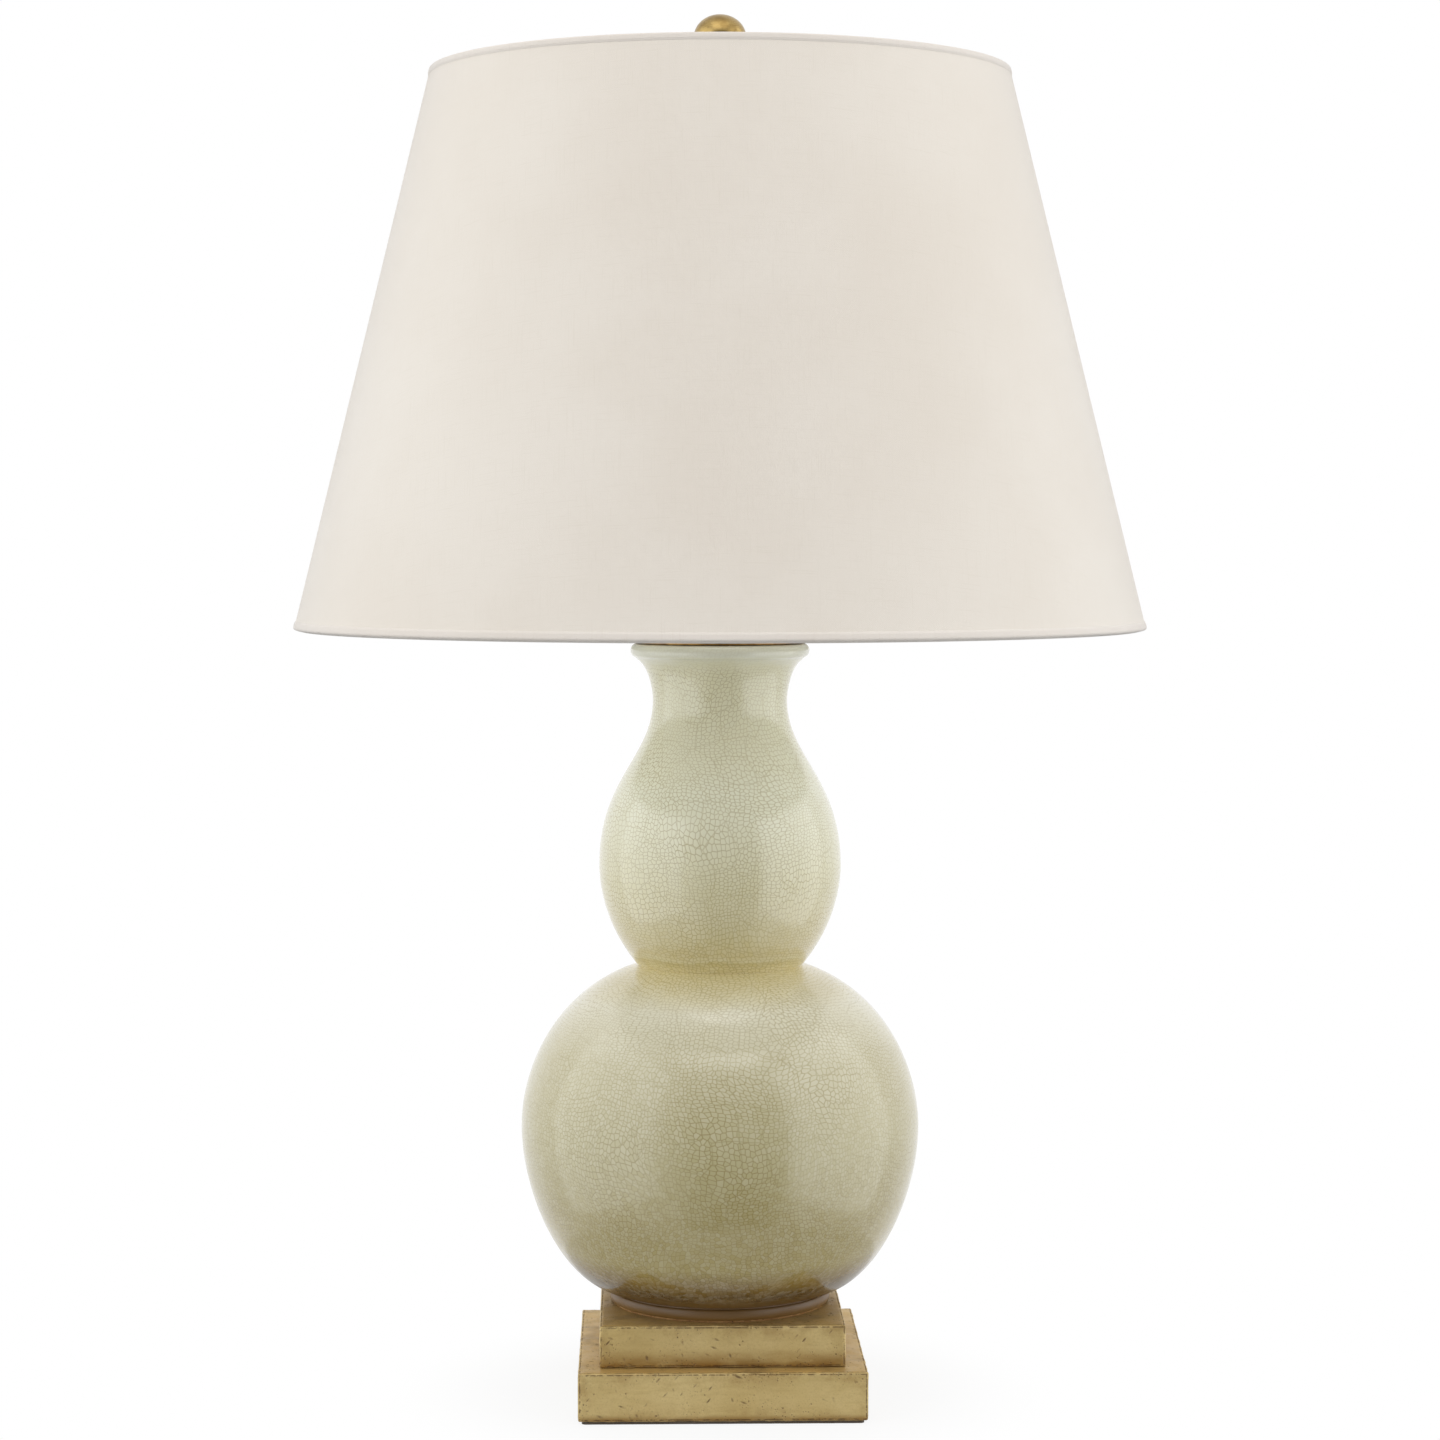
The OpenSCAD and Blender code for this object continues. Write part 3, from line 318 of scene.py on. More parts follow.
def draw_line(name, points):
    """Draws a line through points in metres, one by one, and leaves it selected in edit mode."""
    bpy.ops.object.select_all(action="DESELECT")
    bpy.ops.mesh.primitive_plane_add(size=2 * MM)
    obj = bpy.context.object
    obj.name = name
    open_mesh(obj)
    bpy.ops.mesh.select_mode(type="VERT")
    bpy.ops.mesh.merge(type="CENTER")
    bpy.ops.transform.translate(value=points[0])
    for here, there in zip(points, points[1:]):
        bpy.ops.mesh.extrude_region_move(TRANSFORM_OT_translate={"value": there - here})
    bpy.ops.mesh.select_all(action="SELECT")
    return obj


def seal_mesh():
    """Welds the points that fall on one another, turns every face outwards and leaves edit mode."""
    bpy.ops.mesh.select_all(action="SELECT")
    bpy.ops.mesh.remove_doubles(threshold=MM / 1000)
    bpy.ops.mesh.normals_make_consistent(inside=False)
    close_mesh()


def turned(name, outline, steps=128, centre=(0, 0, 0), along="Z"):
    """Draws an outline of (radius, height) points in millimetres and spins it round a centre line."""
    axis = Vector([float(letter == along) for letter in "XYZ"])
    points = [(Vector(centre) + Vector((radius, 0, 0)) + axis * z) * MM for radius, z in outline]
    obj = draw_line(name, points)
    bpy.ops.mesh.spin(steps=steps, angle=2 * math.pi, center=Vector(centre) * MM, axis=axis)
    seal_mesh()
    return obj


def settle(obj, body, slot, material, *nodes, angle=35):
    """Gives a finished piece its shading, its finish, its body and the CAD nodes that it stands for."""
    only(obj)
    bpy.ops.object.shade_smooth_by_angle(angle=math.radians(angle))
    obj.data.materials.clear()
    obj.data.materials.append(material)
    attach(obj, body)
    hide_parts(*nodes)
    obj.data.calc_loop_triangles()
    print(obj.name, "has", len(obj.data.loop_triangles), "triangles")
    return obj


# %% [markdown]
# A pattern that follows a surface needs a flat map of it. Unwrapping by hand would cut seams where it likes,
# so each corner of each face gets its flat place from a rule instead, and the only seam is at the back.

# %% Helper for flat maps
def map_flat(obj, name, rule):
    """Makes a UV map: the rule turns a point and its angle round the axis into a flat place in metres."""
    layer = obj.data.uv_layers.new(name=name)
    for face in obj.data.polygons:
        for corner in face.loop_indices:
            place = obj.data.vertices[obj.data.loops[corner].vertex_index].co
            around = math.atan2(place.x, -place.y)
            if abs(around) > 3 and around * face.center.x < 0:
                around -= math.copysign(2 * math.pi, around)
            layer.data[corner].uv = rule(place, around)


# %% [markdown]
# A potter's or a turner's outline is a chain of curves. They could be drawn as Bezier objects, but a list of
# points is easier to measure, to lift and to join to the next one.

# %% Lines for outlines
def curve(a, b, c, d, steps):
    """A cubic curve from a to d, pulled towards b and c."""
    line = []
    for i in range(steps + 1):
        t = i / steps
        u = 1 - t
        shares = (u**3, 3 * u * u * t, 3 * u * t * t, t**3)
        line.append(tuple(sum(s * p[k] for s, p in zip(shares, (a, b, c, d))) for k in (0, 1)))
    return line


def arc(centre, rx, rz, start, stop, steps):
    """Part of an ellipse, from one angle to another in degrees."""
    line = []
    for i in range(steps + 1):
        angle = math.radians(start + (stop - start) * i / steps)
        line.append((centre[0] + rx * math.cos(angle), centre[1] + rz * math.sin(angle)))
    return line


def softened(corners, steps=4):
    """A line through corners of (radius, height, rounding), with each corner rounded by its own amount."""
    line = []
    for i, (x, z, round_off) in enumerate(corners):
        here = Vector((x, z))
        if round_off == 0 or i in (0, len(corners) - 1):
            line.append((x, z))
            continue
        back = Vector(corners[i - 1][:2]) - here
        ahead = Vector(corners[i + 1][:2]) - here
        reach = min(round_off / math.tan(back.angle(ahead) / 2), 0.49 * back.length, 0.49 * ahead.length)
        first = here + back.normalized() * reach
        last = here + ahead.normalized() * reach
        for k in range(steps + 1):
            t = k / steps
            line.append(tuple(first * (1 - t) ** 2 + here * 2 * t * (1 - t) + last * t * t))
    return line


def lifted(line, dz):
    return [(x, z + dz) for x, z in line]


def low(node):
    """The lowest corner of a CAD node, in millimetres."""
    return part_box(node)[0] / MM


def high(node):
    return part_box(node)[1] / MM


# %% [markdown]
# ## The gourd
# A stoneware vase thrown on the wheel in two bulbs that meet in a sharp waist. It could be sculpted, but a
# potter's profile spun round the axis is exact and easy to correct. The outline runs through six stations:
# groove, belly, waist, upper lobe, neck and lip.

# %% The outline of the gourd
FOOT_R = 58.6
GROOVE_Z = 7.2
WALL = 7
LIP_BEAD_R = 3.9
foot_z = low("gourd_body").z
gourd_top = high("gourd_body").z - foot_z

start = (60.0, GROOVE_Z)
belly = (107.5, 95.5)
waist = (44.5, 182.5)
lobe = (65.25, 236.5)
neck = (36.2, 326.0)
lip = (44.3, 347.5)


def off(point, angle, length):
    """A point that lies length away from another one, in the direction of an angle in degrees."""
    return (
        point[0] + length * math.cos(math.radians(angle)),
        point[1] + length * math.sin(math.radians(angle)),
    )


UP = 90
outside = (
    curve(start, off(start, 10, 26.49), off(belly, -UP, 37.09), belly, 36)
    + curve(belly, off(belly, UP, 30.45), off(waist, 163, -46.98), waist, 40)[1:]
    + curve(waist, off(waist, 50, 27.54), off(lobe, -UP, 10.26), lobe, 28)[1:]
    + curve(lobe, off(lobe, UP, 47.44), off(neck, -UP, 31.33), neck, 32)[1:]
    + curve(neck, off(neck, UP, 4.95), off(lip, 34, -7.1), lip, 12)[1:]
)
bead_z = gourd_top - LIP_BEAD_R
foot_ring = arc((FOOT_R - 1, 1.6), 1, 1.6, -90, 0, 4) + arc((FOOT_R, 3), 1, 3, -60, 90, 12)
groove = [(FOOT_R - 0.3, 6.1), (FOOT_R - 0.3, 6.7)]
bead = arc((lip[0], bead_z), LIP_BEAD_R, LIP_BEAD_R, -75, 180, 28)
inside = [
    (lip[0] - 7.3, bead_z - 8),
    (neck[0] - WALL, neck[1]),
    (lobe[0] - WALL, lobe[1]),
    (waist[0] - WALL, waist[1]),
    (belly[0] - WALL, belly[1] + 20),
    (belly[0] - WALL, belly[1] - 16),
    (64.0, GROOVE_Z + WALL + 3),
    (40.0, GROOVE_Z + WALL),
    (7.0, GROOVE_Z + WALL),
]
recess = [(7.0, 5.0), (FOOT_R - 12, 5.0), (FOOT_R - 11, 4.0), (FOOT_R - 11, 0.8), (FOOT_R - 10, 0)]
gourd_outline = foot_ring + groove + outside + bead + inside + recess
gourd_outline.append(gourd_outline[0])

# %% Throw the gourd
gourd = turned("gourd", lifted(gourd_outline, foot_z), 192)

outline_points = [Vector(point) for point in lifted(gourd_outline, foot_z)]
length_along = [0.0]
for here, there in zip(outline_points, outline_points[1:]):
    length_along.append(length_along[-1] + (there - here).length)
length_at = {(round(x, 2), round(z, 2)): length for (x, z), length in zip(outline_points, length_along)}


def on_skin(place, around):
    """The angle, and the length along the outline from the foot."""
    key = (round(math.hypot(place.x, place.y) / MM, 2), round(place.z / MM, 2))
    if key not in length_at:
        key = min(length_at, key=lambda known: abs(known[0] - key[0]) + abs(known[1] - key[1]))
    return around, length_at[key] * MM


map_flat(gourd, "skin", on_skin)


# %% [markdown]
# The glaze is a pale celadon over buff clay. Where it runs thin it is creamy, and where it pools, over the
# waist and at the foot, it turns ochre, so a ramp gives its colour by height. The ramp also holds painted
# light. The belly darkens towards its bottom, partly glaze and partly painted shade. A painted shadow line
# lies just above the groove of the foot. The waist bead carries a painted highlight with painted shade next
# to it, and the neck and lip are painted lighter against the shade's shadow. It crazed as it cooled: a net
# of fine cracks that took up a brown stain. Solid cells would be cut aslant by the curved skin and look
# blotched, so the net is flat, on the map of the skin, in seven sectors whose ragged joints don't show.

# %% The crackle glaze
GLAZE_AND_SHADE_AT_HEIGHT = [
    (50.0, (118, 86, 36)),
    (56.5, (106, 76, 30)),
    (61.0, (104, 76, 30)),
    # Painted shadow under the belly, just above the groove of the foot.
    (67.0, (76, 52, 14)),
    (74.0, (121, 97, 38)),
    # Darker towards the bottom of the belly: pooled glaze and painted shade.
    (84.0, (157, 142, 82)),
    (105.0, (162, 149, 97)),
    (146.0, (184, 175, 133)),
    (190.0, (198, 190, 155)),
    (216.0, (227, 222, 199)),
    (227.0, (219, 208, 167)),
    (234.0, (227, 214, 162)),
    # Painted shade and a painted highlight on the waist bead.
    (238.6, (203, 188, 130)),
    (240.6, (219, 209, 165)),
    (243.0, (210, 196, 146)),
    (252.0, (213, 201, 152)),
    (266.0, (220, 211, 171)),
    (280.0, (223, 216, 178)),
    # Painted lighter, against the shade's shadow on the upper lobe, neck and lip.
    (330.0, (247, 246, 222)),
    (378.0, (247, 243, 210)),
    (396.0, (244, 239, 203)),
    (402.0, (247, 246, 226)),
]
paint = Recipe("crackle_glaze")
where = paint.place()
wander = paint.noise(55, where, 4, 0.6)
run = paint.maths("MULTIPLY_ADD", paint.minus(wander, 0.5), 0.005)
paint.plug(paint.height(), run.node.inputs[2])
bottom, top = 0.045, 0.41
level = paint.between(run, bottom, top)
level.node.interpolation_type = "LINEAR"
ramp = paint.add("ValToRGB", {"Fac": level})
stops = ramp.color_ramp.elements
while len(stops) < len(GLAZE_AND_SHADE_AT_HEIGHT):
    stops.new(0.5)
for stop, (z, colour) in zip(stops, GLAZE_AND_SHADE_AT_HEIGHT):
    stop.position = (z * MM - bottom) / (top - bottom)
    stop.color = rgb(*colour)
body_colour = ramp.outputs["Color"]

SECTOR = 2 * math.pi / 7
skin = paint.add("SeparateXYZ", {0: paint.add("UVMap", uv_map="skin").outputs[0]}).outputs
ragged = paint.times(paint.minus(paint.noise(16, where, 2), 0.5), 1.2)
part = paint.maths("DIVIDE", paint.plus(skin[0], math.pi), SECTOR)
part = paint.maths("FLOOR", paint.plus(part, ragged))
middle = paint.minus(paint.times(paint.plus(part, 0.5), SECTOR), math.pi)
across = paint.times(paint.minus(skin[0], middle), paint.radius())
across = paint.plus(across, paint.times(part, 0.731))
laid_out = paint.add("CombineXYZ", {0: across, 1: skin[1], 2: part}).outputs[0]
warped = paint.wobbled(laid_out, 15.0, 1.0, (0.036, 0.036, 0))


def net_of(cells, line):
    """A flat net of cracks: 1 on a line, 0 inside a cell."""
    edges = paint.add("TexVoronoi", cells, voronoi_dimensions="2D", feature="DISTANCE_TO_EDGE")
    return paint.between(edges.outputs["Distance"], 0.0, line, 1.0, 0.0)


fine_cells = {"Vector": warped, "Scale": 430.0, "Randomness": 0.72}
long_cells = {"Vector": warped, "Scale": 70.0, "Randomness": 0.9}
fine_net = net_of(fine_cells, 0.12)
long_net = net_of(long_cells, 0.025)
patchy = paint.between(paint.noise(24, where, 3), 0.35, 0.65, 0.6, 1.0)
net = paint.times(paint.times(fine_net, 0.85), patchy)
net = paint.larger(net, paint.times(long_net, 0.45))
chips = paint.add("TexVoronoi", fine_cells, voronoi_dimensions="2D").outputs["Color"]
tone = paint.add("SeparateColor", {"Color": chips}).outputs[0]
dry_foot = paint.between(paint.height(), 0.0585, 0.068, 1.0, 0.0)
glassy = paint.minus(1.0, dry_foot)
tone = paint.times(tone, glassy)
net = paint.times(net, glassy)
net = paint.times(net, paint.between(paint.height(), 0.39, 0.4, 1.0, 0.2))
body_colour = paint.blend(paint.times(tone, 0.12), body_colour, rgb(240, 238, 222))
stained = paint.blend(1.0, body_colour, rgb(192, 178, 134), "MULTIPLY")
glazed = paint.blend(net, body_colour, stained)
cloud = paint.between(paint.noise(14, where, 3, 0.5), 0.35, 0.75, 0.0, 0.15)
glazed = paint.blend(cloud, glazed, paint.blend(1.0, glazed, rgb(238, 230, 204), "MULTIPLY"))

peel = paint.noise(160, where, 2)
slow = paint.noise(28, where, 2)
relief = paint.bump(slow, 0.12, 1.0 * MM)
relief = paint.bump(peel, 0.06, 0.3 * MM, relief)
gloss = paint.between(paint.noise(70, where, 3), 0.3, 0.7, 0.17, 0.24)
gloss = paint.plus(gloss, paint.times(dry_foot, 0.25))
crackle_glaze = paint.finish(
    Base_Color=glazed, Roughness=gloss, Normal=relief, IOR=1.55, Coat_Roughness=0.1,
    Coat_Weight=paint.times(glassy, 0.45),
)
settle(gourd, "base", "crackle_glaze", crackle_glaze, "gourd_body", angle=50)


# %% [markdown]
# ## The stepped plinth
# Two square slabs of wood under gesso and antiqued gold leaf, the small one on the large one. Each starts as
# a cube whose edges are rounded and cut into small squares, so that the rubbed edges and the dents in the
# gesso can be pressed into real geometry. The bores for pipe, screws and cord are cut last.

# %% Helper for a block
def block(name, lowest, highest, edge=0.0, segments=3):
    """A box between two corners in millimetres, with rounded edges."""
    bpy.ops.object.select_all(action="DESELECT")
    bpy.ops.mesh.primitive_cube_add(size=1)
    obj = bpy.context.object
    obj.name = name
    obj.scale = (Vector(highest) - Vector(lowest)) * MM
    obj.location = (Vector(highest) + Vector(lowest)) * MM / 2
    bpy.ops.object.transform_apply(location=True, rotation=True, scale=True)
    if edge:
        open_mesh(obj)
        bpy.ops.mesh.select_all(action="SELECT")
        bpy.ops.mesh.bevel(offset=edge * MM, segments=segments, affect="EDGES")
        close_mesh()
    return obj


def cut_in_squares(obj, side):
    """Cuts the long edges of a block so that its faces become squares of about this side."""
    for axis in range(3):
        open_mesh(obj)
        mesh = bmesh.from_edit_mesh(obj.data)

        def runs_along(edge):
            step = edge.verts[0].co - edge.verts[1].co
            return abs(step[axis]) > 0.98 * step.length and step.length > 4 * side * MM

        lengths = [edge.calc_length() for edge in mesh.edges if runs_along(edge)]
        if lengths:
            pick(obj, "EDGE", runs_along)
            bpy.ops.mesh.subdivide(number_cuts=round(max(lengths) / MM / side) - 1)
        close_mesh()


def carve(obj, tool, operation="DIFFERENCE"):
    """Cuts a tool object out of a piece and throws the tool away."""
    modify(obj, "BOOLEAN", object=tool, operation=operation, solver="EXACT")
    bpy.data.objects.remove(tool)


def drill(obj, place, axis, radius, length, vertices=48):
    """Drills a round hole from a place, in millimetres, along an axis."""
    bpy.ops.object.select_all(action="DESELECT")
    bpy.ops.mesh.primitive_cylinder_add(vertices=vertices, radius=radius * MM, depth=length * MM)
    tool = bpy.context.object
    tool.rotation_euler = Vector(axis).to_track_quat("Z", "Y").to_euler()
    tool.location = (Vector(place) + Vector(axis) * length / 2) * MM
    bpy.ops.object.transform_apply(location=True, rotation=True)
    carve(obj, tool)


def dent(obj, name, size, depth, group="", brightness=1.0, contrast=1.0):
    """Presses cloudy dents of a size into a piece, never outwards."""
    clouds = bpy.data.textures.new(name, "CLOUDS")
    clouds.noise_scale = size * MM
    clouds.noise_depth = 3
    clouds.intensity = brightness
    clouds.contrast = contrast
    settings = {"texture": clouds, "texture_coords": "LOCAL", "mid_level": 0, "strength": -depth * MM}
    if group:
        settings["vertex_group"] = group
    modify(obj, "DISPLACE", **settings)


# %% Shape the slabs
SLAB_EDGE = 0.9
SCREW_AT = 48.0
CORD_Z = 10.5
PIPE_HOLE_R, HOLLOW_R, SCREW_HOLE_R = 5.25, 30, 2.1
CORD_HOLE_R, BUSHING_HOLE_R = 4.5, 5.1


def slab(name, node):
    lowest, highest = low(node), high(node)
    obj = block(name, lowest, highest, SLAB_EDGE)
    cut_in_squares(obj, 1.5)
    rim = obj.vertex_groups.new(name="rim")
    middle = (lowest + highest) / 2
    half = (highest - lowest) / 2
    for vertex in obj.data.vertices:
        inward = sorted(half[k] - abs(vertex.co[k] / MM - middle[k]) for k in range(3))
        rim.add([vertex.index], max(0.0, 1 - inward[1] / 2.2), "REPLACE")
    dent(obj, name + "_rubbed", 7, 0.55, "rim", 0.95, 2.2)
    dent(obj, name + "_gesso", 30, 0.12)
    return obj


lower_slab = slab("lower_slab", "plinth_lower")
upper_slab = slab("upper_slab", "plinth_upper")
lower_floor = low("plinth_lower").z
for piece in (lower_slab, upper_slab):
    drill(piece, (0, 0, 0), (0, 0, 1), PIPE_HOLE_R, 60)
drill(lower_slab, (0, 0, 0), (0, 0, 1), HOLLOW_R, lower_floor + 16, 96)
drill(lower_slab, (0, 20, CORD_Z), (0, 1, 0), CORD_HOLE_R, 43)
drill(lower_slab, (0, 62.1, CORD_Z), (0, 1, 0), BUSHING_HOLE_R, 20)
for x in (-SCREW_AT, SCREW_AT):
    for y in (-SCREW_AT, SCREW_AT):
        drill(lower_slab, (x, y, 0), (0, 0, 1), SCREW_HOLE_R, 40, 24)
        drill(upper_slab, (x, y, 20), (0, 0, 1), SCREW_HOLE_R, 18, 24)


# %% [markdown]
# Antiqued leaf is bright in the middle of a face. Brown wax gathers towards the edges of each slab, and each
# slab is painted darker towards its foot, both wax and painted shade. The top faces take a darker, smudged
# leaf, which is painted shade. Dark specks stay in the pits and scratches, and the very edge is rubbed back.
# The wear could be painted by hand, but a rule wears both slabs alike: how near a point is to an edge comes
# from its distance to the three pairs of faces of its slab, as the middle one of the three.

# %% Antique gold leaf
STROKES = (
    ((0.5, 0.3, 0.2), 170),
    ((0.2, 1.2, 0.9), 210),
    ((0.1, -0.7, 0.5), 260),
    ((0.9, 0.1, 1.3), 320),
)


def antique_gold(name, node, wax_and_shade_height):
    paint = Recipe(name)
    where = paint.place()
    middle = (low(node) + high(node)) / 2 * MM
    half = (high(node) - low(node)) / 2 * MM
    centred = paint.vector("SUBTRACT", where, middle)
    outward = paint.add("VectorMath", {0: centred}, operation="ABSOLUTE").outputs[0]
    inward = paint.vector("SUBTRACT", half, outward)
    parts = paint.add("SeparateXYZ", {0: inward}).outputs
    nearest = paint.maths("MINIMUM", paint.maths("MINIMUM", parts[0], parts[1]), parts[2])
    farthest = paint.larger(paint.larger(parts[0], parts[1]), parts[2])
    total = paint.plus(paint.plus(parts[0], parts[1]), parts[2])
    to_edge = paint.minus(paint.minus(total, nearest), farthest)

    leaf = paint.between(paint.noise(26, where, 4, 0.55), 0.3, 0.7)
    leaf = paint.blend(leaf, rgb(209, 187, 131), rgb(197, 173, 115))
    grain = paint.between(paint.noise(1100, where, 3, 0.7), 0.45, 0.75)
    leaf = paint.blend(paint.times(grain, 0.3), leaf, rgb(158, 130, 80))
    streak = paint.between(paint.noise(70, paint.place((1, 1, 6)), 4, 0.6), 0.45, 0.75, 0.0, 0.35)
    leaf = paint.blend(streak, leaf, rgb(176, 148, 92))

    patches = paint.between(paint.noise(75, where, 5, 0.65), 0.38, 0.66)
    near_edge = paint.between(to_edge, 0.0, 0.012, 1.0, 0.0)
    wax_and_shade = paint.times(paint.times(near_edge, patches), 0.45)
    # Darker towards the foot of each slab: brown wax, and painted shade where the slab meets the ledge or
    # the table.
    from_foot = paint.minus(paint.height(), low(node).z * MM)
    foot_wax_and_shade = paint.between(from_foot, 0.001, wax_and_shade_height * MM, 0.85, 0.0)
    uneven = paint.between(paint.noise(45, paint.place((1, 1, 3)), 4, 0.6), 0.25, 0.6, 0.35, 1.0)
    wax_and_shade = paint.larger(wax_and_shade, paint.times(foot_wax_and_shade, uneven))
    # The top faces take a darker, smudged leaf: painted shade.
    below_top = paint.minus(high(node).z * MM, paint.height())
    shaded_top = paint.between(below_top, 0.0002, 0.0008, 0.8, 0.0)
    leaf = paint.blend(wax_and_shade, leaf, rgb(143, 106, 48))
    smudge = paint.between(paint.noise(38, where, 5, 0.65), 0.45, 0.68, 0.0, 0.6)
    shaded_top_leaf = paint.blend(smudge, rgb(204, 170, 104), rgb(140, 114, 72))
    leaf = paint.blend(shaded_top, leaf, shaded_top_leaf)

    marks = 0.0
    for turn, size in STROKES:
        strokes = paint.add("Mapping", {"Vector": paint.place(turn=turn), "Scale": (1, 1, 0.28)}).outputs[0]
        scratch = paint.between(paint.dots(size, strokes), 0.05, 0.17, 1.0, 0.0)
        rare = paint.between(paint.noise(size * 0.22, where, 4, 0.65), 0.47, 0.58)
        marks = paint.larger(marks, paint.times(scratch, rare))
    pit = paint.between(paint.dots(620, where), 0.12, 0.3, 1.0, 0.0)
    pitted = paint.between(paint.noise(70, where, 4, 0.7), 0.48, 0.6)
    close_to = paint.between(to_edge, 0.0, 0.009, 1.0, 0.35)
    marks = paint.larger(marks, paint.times(paint.times(pit, pitted), close_to))
    from_line = paint.maths("ABSOLUTE", paint.minus(to_edge, 0.0011))
    edge_line = paint.between(from_line, 0.0, 0.0006, 1.0, 0.0)
    broken = paint.between(paint.noise(300, where, 4, 0.7), 0.4, 0.55)
    marks = paint.larger(marks, paint.times(edge_line, broken))
    leaf = paint.blend(paint.times(marks, 0.8), leaf, rgb(84, 60, 32))
    rubbed = paint.between(to_edge, 0.0002, 0.0007, 0.6, 0.0)
    leaf = paint.blend(rubbed, leaf, rgb(222, 204, 152))

    relief = paint.bump(paint.noise(480, where, 5, 0.7), 0.5, 0.25 * MM)
    relief = paint.bump(paint.noise(70, where, 3), 0.2, 0.6 * MM, relief)
    relief = paint.bump(marks, 0.8, -0.4 * MM, relief)
    gloss = paint.between(paint.noise(120, where, 3), 0.3, 0.7, 0.4, 0.52)
    gloss = paint.plus(gloss, paint.times(marks, 0.3))
    metal = paint.between(marks, 0.0, 1.0, 0.45, 0.1)
    return paint.finish(Base_Color=leaf, Roughness=gloss, Metallic=metal, Normal=relief)


settle(lower_slab, "base", "antique_gold", antique_gold("gold_lower", "plinth_lower", 5), "plinth_lower")
settle(upper_slab, "base", "antique_gold", antique_gold("gold_upper", "plinth_upper", 12), "plinth_upper")


# %% [markdown]
# Under the plinth is a square of dark felt, cut a little smaller than the slab so that only its shadow line
# shows.

# %% The felt
felt_low, felt_high = low("felt_pad"), high("felt_pad")
felt = block("felt", felt_low, felt_high)
cut_in_squares(felt, 3)
open_mesh(felt)
corner_at = (2 * felt_high.x - 1) * MM
pick(felt, "EDGE", lambda edge: all(abs(v.co.x) + abs(v.co.y) > corner_at for v in edge.verts))
bpy.ops.mesh.bevel(offset=2.4 * MM, segments=6, affect="EDGES")
close_mesh()
dent(felt, "felt_fuzz", 2.5, 0.12)

paint = Recipe("dark_felt")
where = paint.place()
fibres = paint.noise(900, paint.place((1, 1, 3)), 5, 0.8)
tint = paint.blend(paint.between(fibres, 0.3, 0.7), rgb(88, 79, 68), rgb(112, 102, 90))
fluff = paint.bump(fibres, 0.8, 0.3 * MM)
dark_felt = paint.finish(
    Base_Color=tint, Roughness=0.95, Normal=fluff, Sheen_Weight=0.4, Specular_IOR_Level=0.15
)
settle(felt, "base", "felt", dark_felt, "felt_pad")


# %% [markdown]
# ## The shade
# The shade is part of a cone: linen glued to stiff white styrene, with a wire ring at each edge and a folded
# strip of the same linen over it. Every layer is measured along the slanted wall and inward from its face,
# so one function gives the points for all of them.

# %% The wall of the shade
SHADE_BOTTOM_R = 228.6
SHADE_TOP_R = 155.0
SHADE_H = 297.0
SHADE_EDGE = 0.7
shade_low_z = high("shade_top_trim").z - SHADE_H
lean = math.atan2(SHADE_BOTTOM_R - SHADE_TOP_R, SHADE_H)
wall_len = math.hypot(SHADE_BOTTOM_R - SHADE_TOP_R, SHADE_H)


def on_wall(along, inward):
    """A point that lies along the wall from its lower edge, and inward from its outer face."""
    x = SHADE_BOTTOM_R - along * math.sin(lean) - inward * math.cos(lean)
    z = shade_low_z + along * math.cos(lean) - inward * math.sin(lean)
    return x, z


def wall_layer(name, inward, thick, cuts=24):
    stations = [SHADE_EDGE + (wall_len - 2 * SHADE_EDGE) * i / cuts for i in range(cuts + 1)]
    outer = [on_wall(s, inward) for s in stations]
    inner = [on_wall(s, inward + thick) for s in reversed(stations)]
    return turned(name, outer + inner + outer[:1], 192)


def on_cut(place, around):
    """Where a point of the wall lies on the flat cut, opened at the back."""
    reach = math.hypot(place.x, place.y) / math.sin(lean)
    angle = around * math.sin(lean)
    return reach * math.sin(angle), -reach * math.cos(angle)


linen = wall_layer("shade_linen", 0.7, 0.6)
map_flat(linen, "flat", on_cut)
liner = wall_layer("shade_styrene", 1.4, 0.5)
map_flat(liner, "flat", on_cut)


# %% [markdown]
# The edges carry a strip of linen folded round the wire: a U whose outer corners are round and full. The
# joint of the cover is at the back, where one end laps over the other.

# %% Folded edges and the lap
def folded_edge(name, edge, inward_sign, tall, deep):
    """A U of linen round an edge: its outer face, its fold, and its inner face."""
    skin = 0.6
    far = edge + inward_sign * tall
    near = edge + inward_sign * skin
    thin = far - inward_sign * 1.2
    outer = [(far, 0.62, 0), (thin, 0.15, 0.8), (edge, 0, 1.6), (edge, deep, 1.6), (far, deep, 0)]
    inner = [(far, deep - skin, 0), (near, deep - skin, 1.0), (near, skin, 1.0), (far, 0.68, 0)]
    outline = []
    for side in (outer, inner):
        outline += softened([(*on_wall(along, inward), rounding) for along, inward, rounding in side], 6)
    obj = turned(name, outline + outline[:1], 192)
    map_flat(obj, "flat", on_cut)
    return obj


upper_edge = folded_edge("shade_upper_edge", wall_len, -1, 4.0, 5.3)
lower_edge = folded_edge("shade_lower_edge", 0, 1, 4.7, 5.7)

LAP_WIDE = 9
lap = block("shade_lap", (-LAP_WIDE / 2, -0.2, 4.9), (LAP_WIDE / 2, 0.2, wall_len - 4.2), 0.15, 2)
lap_foot = Vector(on_wall(0, 0.5)) * MM
lap.rotation_euler = (lean, 0, 0)
lap.location = (0, lap_foot.x, lap_foot.y)
bpy.ops.object.transform_apply(location=True, rotation=True)
map_flat(lap, "flat", on_cut)


